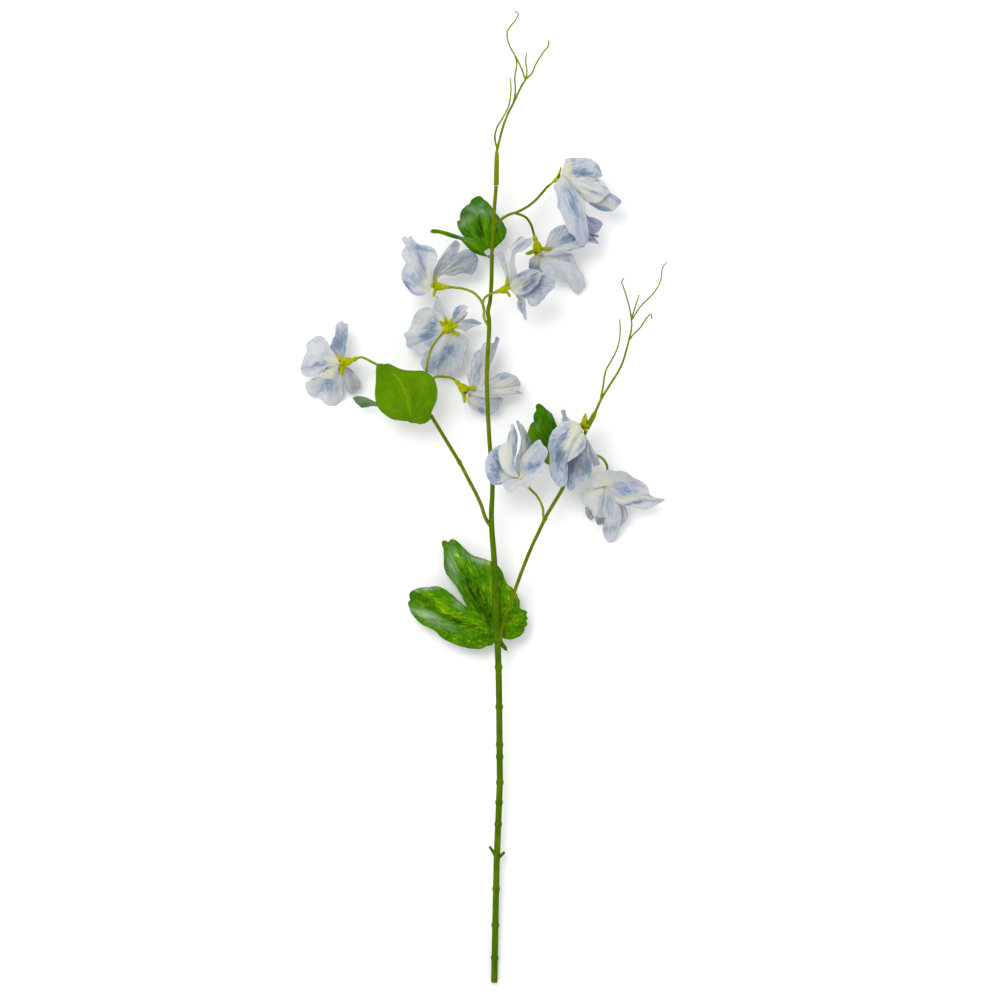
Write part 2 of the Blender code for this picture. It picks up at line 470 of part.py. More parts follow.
def fan_mesh(claw, fan, lift, thickness):
    """One closed lobe: the fan's surface with an upper and a lower skin."""
    claw = np.array(claw, float)
    rows = fan_surface(claw, fan, lift, thickness)
    across = len(fan.rim)
    grid = np.array([[claw] * across] + rows)
    along = np.gradient(grid, axis=0)
    beside = np.gradient(grid, axis=1)
    normals = np.cross(along, beside)
    normals[0] = UP
    normals *= np.sign(normals[-1, :, 2].sum())
    normals[0] = UP
    normals /= np.linalg.norm(normals, axis=2, keepdims=True)
    points = []
    for side in (0.5, -0.5):
        skin = grid + side * thickness * normals
        points.append(skin[0, 0])
        points.extend(skin[1:].reshape(-1, 3))
    size = len(points) // 2
    last = len(grid) - 2

    def at(row, column, lower):
        return lower * size + 1 + row * across + column

    faces = []
    for column in range(across - 1):
        for lower in (0, 1):
            faces.append([lower * size, at(0, column, lower), at(0, column + 1, lower)])
            for row in range(last):
                faces.append([at(row, column, lower), at(row, column + 1, lower),
                              at(row + 1, column + 1, lower), at(row + 1, column, lower)])
        faces.append([at(last, column, 0), at(last, column + 1, 0),
                      at(last, column + 1, 1), at(last, column, 1)])
    for column in (0, across - 1):
        faces.append([0, at(0, column, 0), at(0, column, 1), size])
        for row in range(last):
            faces.append([at(row, column, 0), at(row + 1, column, 0),
                          at(row + 1, column, 1), at(row, column, 1)])
    return mesh_from(points, faces)


def calyx_frame(blossom):
    """Mouth centre, aim, level side direction and the direction square to both that points up."""
    aim = unit(blossom.aim)
    side = unit(np.cross(aim, UP))
    over = np.cross(side, aim)
    back = CLAW_STEP * abs(aim[2]) + CLAW_RADIUS + GAP
    return np.array(blossom.claw, float) - back * aim, aim, side, over


def calyx_foot(blossom):
    mouth, aim, _, _ = calyx_frame(blossom)
    return mouth - (blossom.calyx + blossom.sleeve) * aim


def calyx_mesh(blossom):
    """A bell with a sleeve at its foot and pointed sepals that flare from its mouth."""
    mouth, aim, side, over = calyx_frame(blossom)
    length = blossom.calyx
    profile = [
        (-length - blossom.sleeve, 1.5), (-length - 0.2, 1.6), (-length, 1.25), (-0.7 * length, 2.3),
        (-0.25 * length, 2.9),
    ]
    sepals = (0, 2, 4) if aim[2] < -0.2 else (0, 4)
    points = []
    for distance, radius in profile:
        for turn in range(8):
            angle = math.pi * turn / 4
            points.append(mouth + distance * aim + radius * (math.cos(angle) * side + math.sin(angle) * over))
    for turn in range(8):
        angle = math.pi * turn / 4
        radius = SEPAL_REACH if turn in sepals else MOUTH_RADIUS
        reach = -0.6 if radius == SEPAL_REACH else 0.0
        points.append(mouth + reach * aim + radius * (math.cos(angle) * side + math.sin(angle) * over))
    for turn in range(8):
        angle = math.pi * turn / 4
        points.append(mouth + 0.65 * MOUTH_RADIUS * (math.cos(angle) * side + math.sin(angle) * over))
    rings = len(points) // 8
    faces = [list(range(8)), list(range(len(points) - 8, len(points)))]
    for ring in range(rings - 1):
        for turn in range(8):
            here = ring * 8 + turn
            beside = ring * 8 + (turn + 1) % 8
            faces.append([here, beside, beside + 8, here + 8])
    return mesh_from(points, faces)


def add_piece(name, meshes, paint, holder, solver="EXACT"):
    """One closed object: the union of overlapping meshes, brought from millimetres to metres.

    EXACT drops some of the thin fans that share a claw, so leaves and petals ask for MANIFOLD.
    """
    piece = bpy.data.objects.new(name, meshes[0])
    bpy.context.collection.objects.link(piece)
    others = []
    for mesh in meshes[1:]:
        other = bpy.data.objects.new("union", mesh)
        bpy.context.collection.objects.link(other)
        others.append(other)
        join = piece.modifiers.new("Union", "BOOLEAN")
        join.operation = "UNION"
        join.solver = solver
        join.object = other
    united = bpy.data.meshes.new_from_object(piece.evaluated_get(bpy.context.evaluated_depsgraph_get()))
    piece.modifiers.clear()
    for other in others:
        bpy.data.objects.remove(other)
    united.transform(Matrix.Scale(MM, 4))
    united.name = name
    united.shade_smooth()
    united.set_sharp_from_angle(angle=math.radians(40))
    united.materials.clear()
    united.materials.append(paint)
    piece.data = united
    piece.parent = holder
    return piece


def add_stems(holder):
    bark = material("stem_olive", OLIVE, 0.45)
    stubs = [tube(smooth(route, 1), STALK_SIDES) for route in KNUCKLE_STUBS]
    stem = tube(ringed_stations(MAIN_STEM, STEM_RINGS), STEM_SIDES)
    add_piece("main_stem", [stem] + stubs, bark, holder)
    add_piece("left_branch", [tube(smooth(LEFT_BRANCH, 2), STALK_SIDES)], bark, holder)
    add_piece("right_branch", [tube(smooth(RIGHT_BRANCH, 2), STALK_SIDES)], bark, holder)
    for name, arms in STALKS.items():
        tubes = []
        for arm in arms:
            foot = calyx_foot(BLOSSOMS[arm["to"]])
            aim = unit(BLOSSOMS[arm["to"]].aim)
            ends = [(*(foot - distance * aim), 0.9) for distance in (3.0, 1.4, GAP)]
            tubes.append(tube(smooth(arm["route"] + ends, 2), STALK_SIDES))
        add_piece(name, tubes, bark, holder)


def add_tendrils(holder):
    young = material("tendril_green", TENDRIL_GREEN, 0.5)
    for name, arms in TENDRILS.items():
        add_piece(name, [tube(smooth(arm, 2), TENDRIL_SIDES) for arm in arms], young, holder)


def add_leaves(holder):
    for name, (petiole, fans) in LEAVES.items():
        paint = material(name, LEAF_COLOURS[name], 0.4)
        claw = petiole[-1][:3]
        meshes = [tube([np.array(station, float) for station in petiole], STALK_SIDES), bead(claw)]
        meshes += [fan_mesh(claw, fan, 0.0, LEAF_THICKNESS) for fan in fans]
        add_piece(name, meshes, paint, holder, solver="MANIFOLD")


def add_blossoms(holder):
    green = material("calyx_green", CALYX_GREEN, 0.5)
    paints = {
        "banner": material("banner_cloth", PETAL_BLUE, 0.85),
        "wings": material("wing_cloth", WING_BLUE, 0.85),
        "keel": material("keel_cloth", KEEL_CREAM, 0.85),
    }
    for name, blossom in BLOSSOMS.items():
        add_piece(name + "_calyx", [calyx_mesh(blossom)], green, holder)
        for layer, paint in paints.items():
            petals = getattr(blossom, layer)
            if petals is None:
                continue
            level, fans = petals
            lift = level * CLAW_STEP
            claw = np.array(blossom.claw, float) + (0, 0, lift)
            meshes = [bead(claw)] + [fan_mesh(claw, fan, lift, PETAL_THICKNESS) for fan in fans]
            add_piece(f"{name}_{layer}", meshes, paint, holder, solver="MANIFOLD")


def centre_on_floor(holder):
    """Put the middle of the whole spray's box over the origin and its lowest point on the floor."""
    corners = [vertex.co for piece in holder.children for vertex in piece.data.vertices]
    low = np.min(corners, axis=0)
    high = np.max(corners, axis=0)
    holder.location = (-0.5 * (low[0] + high[0]), -0.5 * (low[1] + high[1]), -low[2])


def build_spray():
    clear_scene()
    holder = bpy.data.objects.new("spray", None)
    bpy.context.collection.objects.link(holder)
    add_stems(holder)
    add_tendrils(holder)
    add_leaves(holder)
    add_blossoms(holder)
    centre_on_floor(holder)
    bpy.context.view_layer.update()


build_spray()
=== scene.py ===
"""An artificial sweet pea spray, lying face up on a pale table.

Cloth petals, moulded leaves, calyxes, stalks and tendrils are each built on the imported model's frame.
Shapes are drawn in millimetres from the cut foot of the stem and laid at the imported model's own corner.
"""

import math
from collections import namedtuple

import bpy
import numpy as np
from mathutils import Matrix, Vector, noise


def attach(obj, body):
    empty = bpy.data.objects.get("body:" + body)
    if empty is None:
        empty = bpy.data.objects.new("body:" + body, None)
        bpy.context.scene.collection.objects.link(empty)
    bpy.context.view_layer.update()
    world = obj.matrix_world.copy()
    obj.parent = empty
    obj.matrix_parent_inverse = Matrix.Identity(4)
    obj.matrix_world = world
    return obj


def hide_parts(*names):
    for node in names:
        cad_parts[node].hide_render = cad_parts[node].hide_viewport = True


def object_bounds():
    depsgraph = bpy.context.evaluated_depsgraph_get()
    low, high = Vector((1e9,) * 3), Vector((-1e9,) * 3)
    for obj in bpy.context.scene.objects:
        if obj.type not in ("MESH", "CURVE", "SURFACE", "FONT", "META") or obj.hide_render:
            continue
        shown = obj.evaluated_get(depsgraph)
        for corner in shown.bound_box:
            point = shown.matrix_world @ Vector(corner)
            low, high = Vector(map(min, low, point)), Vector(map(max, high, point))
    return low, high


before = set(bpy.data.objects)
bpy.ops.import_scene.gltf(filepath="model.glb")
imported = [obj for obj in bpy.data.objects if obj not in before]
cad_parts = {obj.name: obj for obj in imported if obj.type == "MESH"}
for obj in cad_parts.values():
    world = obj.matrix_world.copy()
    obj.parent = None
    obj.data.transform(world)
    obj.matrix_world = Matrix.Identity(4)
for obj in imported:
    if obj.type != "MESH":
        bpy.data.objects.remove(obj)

MM = 0.001
UP = np.array((0.0, 0.0, 1.0))
FLOOR_GAP = 0.15  # petals, leaves and sepals stay this far above the floor
SHARP_EDGE = math.radians(50)  # edges that bend more than this stay sharp

# Sheets. Heights and lengths are in millimetres.
CLOTH = 0.35  # thickness of the stiffened petal cloth
LEAF_SHEET = 0.6  # thickness of a leaf
PETAL_COLUMNS, PETAL_ROWS = 84, 36
LEAF_COLUMNS, LEAF_ROWS = 84, 40
RIM_STEPS = 14  # steps between two drawn points of an outline
RAGGED = 0.5  # how far a rim strays from its outline
SHORT_REACH = 8  # rims nearer to the claw than this stray less
FOLD_RISE = 6  # folds rise over one part in this many of the way from the claw to the rim
FOLD_END = 0.35  # height of a fold's ends, as a share of its middle
DAB_REACH, DAB_SPREAD, DAB_EDGE = 0.55, 0.62, 0.35  # shares of a dab's length and width, and its soft edge
BLEED = 2.4  # how far a dab strays

# Petals.
RUFFLE = 1.28  # height of the waves on a petal's rim
RUFFLED_RIM = 0.12  # how far these waves reach in, as a share of the petal
CREASE = 0.45  # height of the narrow waves all over a petal
BOW = 1.0  # height of the broad waves all over a petal
CREAM_CLAW = 6.5  # how far the cream of a claw reaches
LILAC_RIM = 0.05  # how far the lilac of a rim reaches in, as a share of the petal
DEEPEST_DYE = 0.95  # lilac and slate never cover more than this
CLAW_RADIUS = 0.95
CLAW_STEP = 2.2  # height between two layers of petals at the claw
CRIMPS, CRIMP = 5, 0.07  # pleats round a claw, and their depth as a share of its radius
ALL_CREAM = (0.0, 1.0, 0.0, 0.0)  # dye of the crimped claw
BLUE, CREAM, LILAC, SLATE_AND_SHADE = 0, 1, 2, 3  # dyes of the petals; slate is partly a slate tint and mostly painted shade

# Leaves.
WAVY_MARGIN, MARGIN_WAVES = 0.5, 3  # height and number of the waves on a lobe's margin
LEAF_BOW = 0.7  # height of the broad waves all over a lobe
LEAF_RIBS = 9
SUNKEN_RIB = 0.12  # depth of a rib
DARK_MARGIN = 0.012  # width of the dark margin, as a share of the lobe
LIGHT, DARK, GLOSS_AND_HIGHLIGHT = 0, 1, 2  # tints of the leaves; the third marks gloss and paints a highlight there

# Calyxes. Sizes across are multiplied by a calyx's girth.
MOUTH_GAP = 0.3  # from the mouth to the nearest claw
BELL_COLUMNS = 40
FLUTES, FLUTE_DEPTH = 10, 0.06
WELD = 0.00002  # points of a bell closer than this, in metres, become one
SEPAL_RING = 2.2  # the sepals' roots stand this far from the calyx's middle
SEPAL_SINK = 1.0  # and this far below its mouth
# A sepal's thickness along its length, both as shares.
SEPAL_TAPER = ((0.0, 0.8), (0.3, 1.0), (0.65, 0.92), (0.88, 0.66), (0.98, 0.3), (1.0, 0.1))

# Stems.
ROD_STEPS = 6  # steps between two stations of a rod
RING_SWELL = ((-2.4, 0.0), (-0.9, 0.45), (0.0, 0.6), (0.9, 0.4), (2.2, 0.0))  # (along the stem, added radius)
RING_ROOM = 5  # stations nearer to a ring than this give way to it
STALK_RUN_IN = (3.0, 1.4, 0.0)  # a stalk meets its calyx in a straight line through these distances
STALK_END = 0.9  # radius of a stalk there

# Every petal and lobe has its own seed.
BLOSSOM_SEED, PETAL_SEED, LEAF_SEED = 1.7, 5.3, 3.1
# The layers of petals are (field of the blossom, slot name, added seed).
PETAL_LAYERS = (("banner", "banner", 0), ("wings", "wing", 11), ("keel", "keel", 23))

# Looks.
PLASTIC_SHINE = 0.03
GRAIN_SIZE = 900.0

# Stage, in metres.
TABLE_SIZE = 16.0
TABLE_DROP = 0.0002  # the table lies this far below the floor
TABLE_GREY = (0.93, 0.93, 0.93, 1.0)
WALL_LIGHT, CEILING_LIGHT = 1.4, 0.25  # strength of the room's light near its walls and overhead
PANEL_PLACE = (-1.2, 1.6, 3.4)
CAMERA_PLACE = (0.0122, -0.0011, 3.145)

packed_low, packed_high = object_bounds()
# The drawing's own low corner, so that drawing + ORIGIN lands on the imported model.
DRAWN_CORNER = np.array((-144.90, -0.117, 0.003))
ORIGIN = np.array(packed_low) / MM - DRAWN_CORNER

# A petal or a leaf lobe is drawn in millimetres from its claw: its left edge, its rim and its right
# edge. The dome lifts its middle. Dabs of dye are (dye, x, y, length, width, turn, strength), and
# folds are (x, y, x, y, width, height) from end to end. Slate dabs are mostly painted shade in creases.
Petal = namedtuple("Petal", "left rim right tone dome dabs folds")
Blossom = namedtuple("Blossom", "claw aim calyx sleeve sepals banner wings keel girth", defaults=(1.0,))

# Routes are (x, y, z, radius).
MAIN_STEM = [
    (0, 0, 2.4, 2.4), (1, 50, 5, 2.4), (2, 94, 8, 2.4), (4.3, 152, 12, 2.4), (3.8, 208, 16, 2.4),
    (3.3, 238, 18.2, 2.4), (1.3, 289, 21.6, 2.3), (0, 319, 23.4, 2.2), (-2, 349, 24.8, 2.0),
    (-1.3, 375, 25.6, 1.7), (-4, 416, 26, 1.6), (-5.4, 457, 26, 1.6), (-3.8, 499, 26, 1.6),
    (-4.7, 504, 26, 1.6), (-3, 513, 26, 1.5), (-1.6, 546, 26, 1.5), (-0.3, 575, 26, 1.4),
    (1.5, 599, 26, 1.4),
]
STEM_RINGS = (18.8, 43.5, 71, 120, 136.5, 151.5, 171, 180, 208.5, 238.5, 279, 292, 311)
KNUCKLE_STUBS = [
    [(2.2, 93, 8, 1.2), (-0.6, 98.5, 8.4, 1.2), (-3.5, 103, 8.6, 1.0)],
    [(2.2, 93, 8, 1.2), (5.4, 96.4, 8.2, 1.2), (7.9, 98.8, 8.4, 1.0)],
]
LEFT_BRANCH = [
    (-1.9, 343, 24.6, 1.35), (-5.8, 349, 24.8, 1.35), (-10.5, 362, 24.6, 1.35), (-20.7, 382, 23.5, 1.35),
    (-24.8, 390, 23, 1.35), (-25.8, 391.8, 22.9, 1.8), (-27.4, 394.4, 22.7, 1.35),
    (-32.1, 402.1, 21.8, 1.35), (-47.5, 427.5, 19, 1.35),
]
RIGHT_BRANCH = [
    (3.4, 254, 19.0, 1.35), (4.6, 261, 19.8, 1.35), (6.4, 270, 20.6, 1.35), (9.6, 280, 21.3, 1.35),
    (14, 292, 22, 1.35), (27.8, 328, 23.6, 1.35), (33.2, 339.4, 23.9, 1.35), (37, 347.5, 24, 1.35),
    (38, 349.6, 24, 1.8), (39.2, 352, 24, 1.35), (43.8, 359.8, 24, 1.35), (51.5, 373, 24, 1.35),
    (61.3, 397.5, 24, 1.35), (68.9, 416, 24, 1.35),
]

# Stalks start beside the piece that carries them. Each arm is (blossom, route), and the blossom's
# calyx ends the route.
STALKS = {
    "stalk_top": [
        ("blossom_01", [(-0.9, 564.5, 26, 1.1), (0.8, 568, 26, 1.15), (4.5, 573, 25.2, 1.1),
                        (10.8, 577.4, 23.4, 1.05), (18, 580, 21.5, 1.0), (28.5, 586.5, 18.5, 0.95),
                        (35.3, 593.6, 16, 0.95)]),
        ("blossom_02", [(16, 578.8, 22, 0.95), (23.3, 576, 20.5, 0.95), (27.6, 570.5, 17.5, 0.95)]),
    ],
    "stalk_middle": [
        ("blossom_04", [(-4.2, 494, 26, 1.0), (-7.4, 500, 26, 1.0), (-7.8, 508, 26, 1.0),
                        (-13, 517, 25, 1.0), (-19.8, 521, 25.6, 0.95)]),
        ("blossom_03", [(-7.8, 506.5, 26, 0.95), (-8.4, 511, 27.8, 0.95), (-6.8, 515, 30.4, 0.95)]),
    ],
    "stalk_left": [
        ("blossom_05", [(-47.7, 427.85, 19, 0.95), (-50.2, 434, 19.2, 1.0), (-51.7, 441, 19.5, 1.0),
                        (-52, 450, 20.5, 1.0), (-50.7, 460, 23.6, 1.0), (-49.6, 468, 28, 0.95),
                        (-46.2, 478, 33, 0.95)]),
        ("blossom_06", [(-51.8, 447, 20, 1.0), (-58, 453.5, 20, 1.0), (-70, 458, 20, 0.95),
                        (-87, 465, 19, 0.95)]),
        ("blossom_07", [(-52, 448, 20.2, 1.0), (-45.3, 455.6, 17.4, 0.95), (-37.5, 456.4, 13.6, 0.95)]),
    ],
    "stalk_right_low": [
        ("blossom_08", [(38, 348.8, 24, 0.95), (36.9, 351.6, 24.4, 0.95), (36.6, 357, 25, 0.95),
                        (32.5, 366, 25.4, 0.95)]),
    ],
    "stalk_right_stub": [
        ("blossom_09", [(69.4, 418.4, 23.8, 0.9), (69.6, 422.4, 23, 0.9), (68.7, 424.8, 22.2, 0.9)]),
    ],
    "stalk_right_high": [
        ("blossom_10", [(61.2, 396.6, 24, 0.95), (63.8, 396.8, 23.4, 0.95), (70, 399, 22, 0.95),
                        (76, 397.5, 19.5, 0.95), (80.6, 395.6, 17, 0.95), (83.9, 391.6, 14.6, 0.95)]),
    ],
}
TENDRILS = {
    "tendril_top": [
        [(1.55, 599.4, 26, 2.0), (2, 622, 26, 1.7), (2.1, 625, 26, 1.1), (3, 629, 26, 1.0),
         (8.7, 649, 26, 0.9), (15, 662, 26, 0.85), (24, 679, 26, 0.8), (27.8, 682.5, 26, 0.7),
         (31.2, 690, 26, 0.65), (36.5, 698.5, 26, 0.6), (41, 705, 26, 0.6), (40.3, 708, 26, 0.5)],
        [(2.4, 626, 26.2, 0.8), (0.6, 634.5, 29, 0.75), (1.5, 640.5, 30, 0.7), (7.3, 651, 30, 0.65),
         (11, 659, 30, 0.6), (12.5, 669, 30, 0.6), (12.3, 679, 30, 0.5)],
        [(14.2, 660.5, 26, 0.7), (15.8, 669, 24.5, 0.65), (15.5, 681, 23.5, 0.6), (16.9, 691, 23, 0.6),
         (15.5, 697, 23, 0.5)],
        [(23.4, 678, 26.1, 0.7), (20.7, 686, 27.5, 0.65), (15.8, 696, 28.5, 0.6), (11, 705, 28, 0.6),
         (10, 714.5, 27, 0.6), (12.5, 718.5, 27, 0.55), (17.3, 725, 27, 0.5), (17.9, 728, 27, 0.5),
         (15.5, 729.5, 27, 0.45)],
        [(23.8, 678.6, 26, 0.65), (24.5, 685, 25, 0.6), (23.6, 693, 24.5, 0.55), (24.3, 698.5, 24.5, 0.45)],
    ],
    "tendril_right": [
        [(69.3, 417, 24, 1.9), (74.5, 427, 24.4, 1.9), (76.2, 430.5, 24.6, 1.1), (80, 439, 25, 1.0),
         (85.4, 448, 25.4, 0.9), (95, 464, 26, 0.85), (99.5, 478, 26.6, 0.8), (101, 484, 26.8, 0.75),
         (102.8, 493, 27, 0.7), (102.6, 500, 27, 0.7), (101, 509, 27, 0.6), (99, 516, 27, 0.55),
         (96.8, 523, 27, 0.5), (95.6, 527, 27, 0.5), (97.2, 530, 27, 0.45)],
        [(79.4, 437.6, 25, 0.8), (81.4, 448, 26, 0.75), (83.6, 460.5, 27.5, 0.7), (88.5, 469.5, 28, 0.6),
         (92.7, 479, 28, 0.6), (94.2, 488, 28, 0.55), (94, 499, 28, 0.5)],
        [(100.6, 482.5, 26.8, 0.65), (104, 487.5, 26.4, 0.6), (109.5, 493, 26, 0.6), (115, 501, 25.6, 0.55),
         (117.4, 502.6, 25.6, 0.5), (118, 499.4, 25.6, 0.45)],
        [(102.7, 499, 27, 0.6), (105.8, 509, 26.2, 0.55), (108.6, 517.5, 26, 0.45)],
        [(102.7, 498, 27, 0.6), (109.5, 508.5, 28.2, 0.55), (120.4, 520, 29, 0.55), (124.5, 528, 29, 0.5),
         (126.3, 538, 29, 0.5), (129, 541.5, 29, 0.4)],
    ],
}
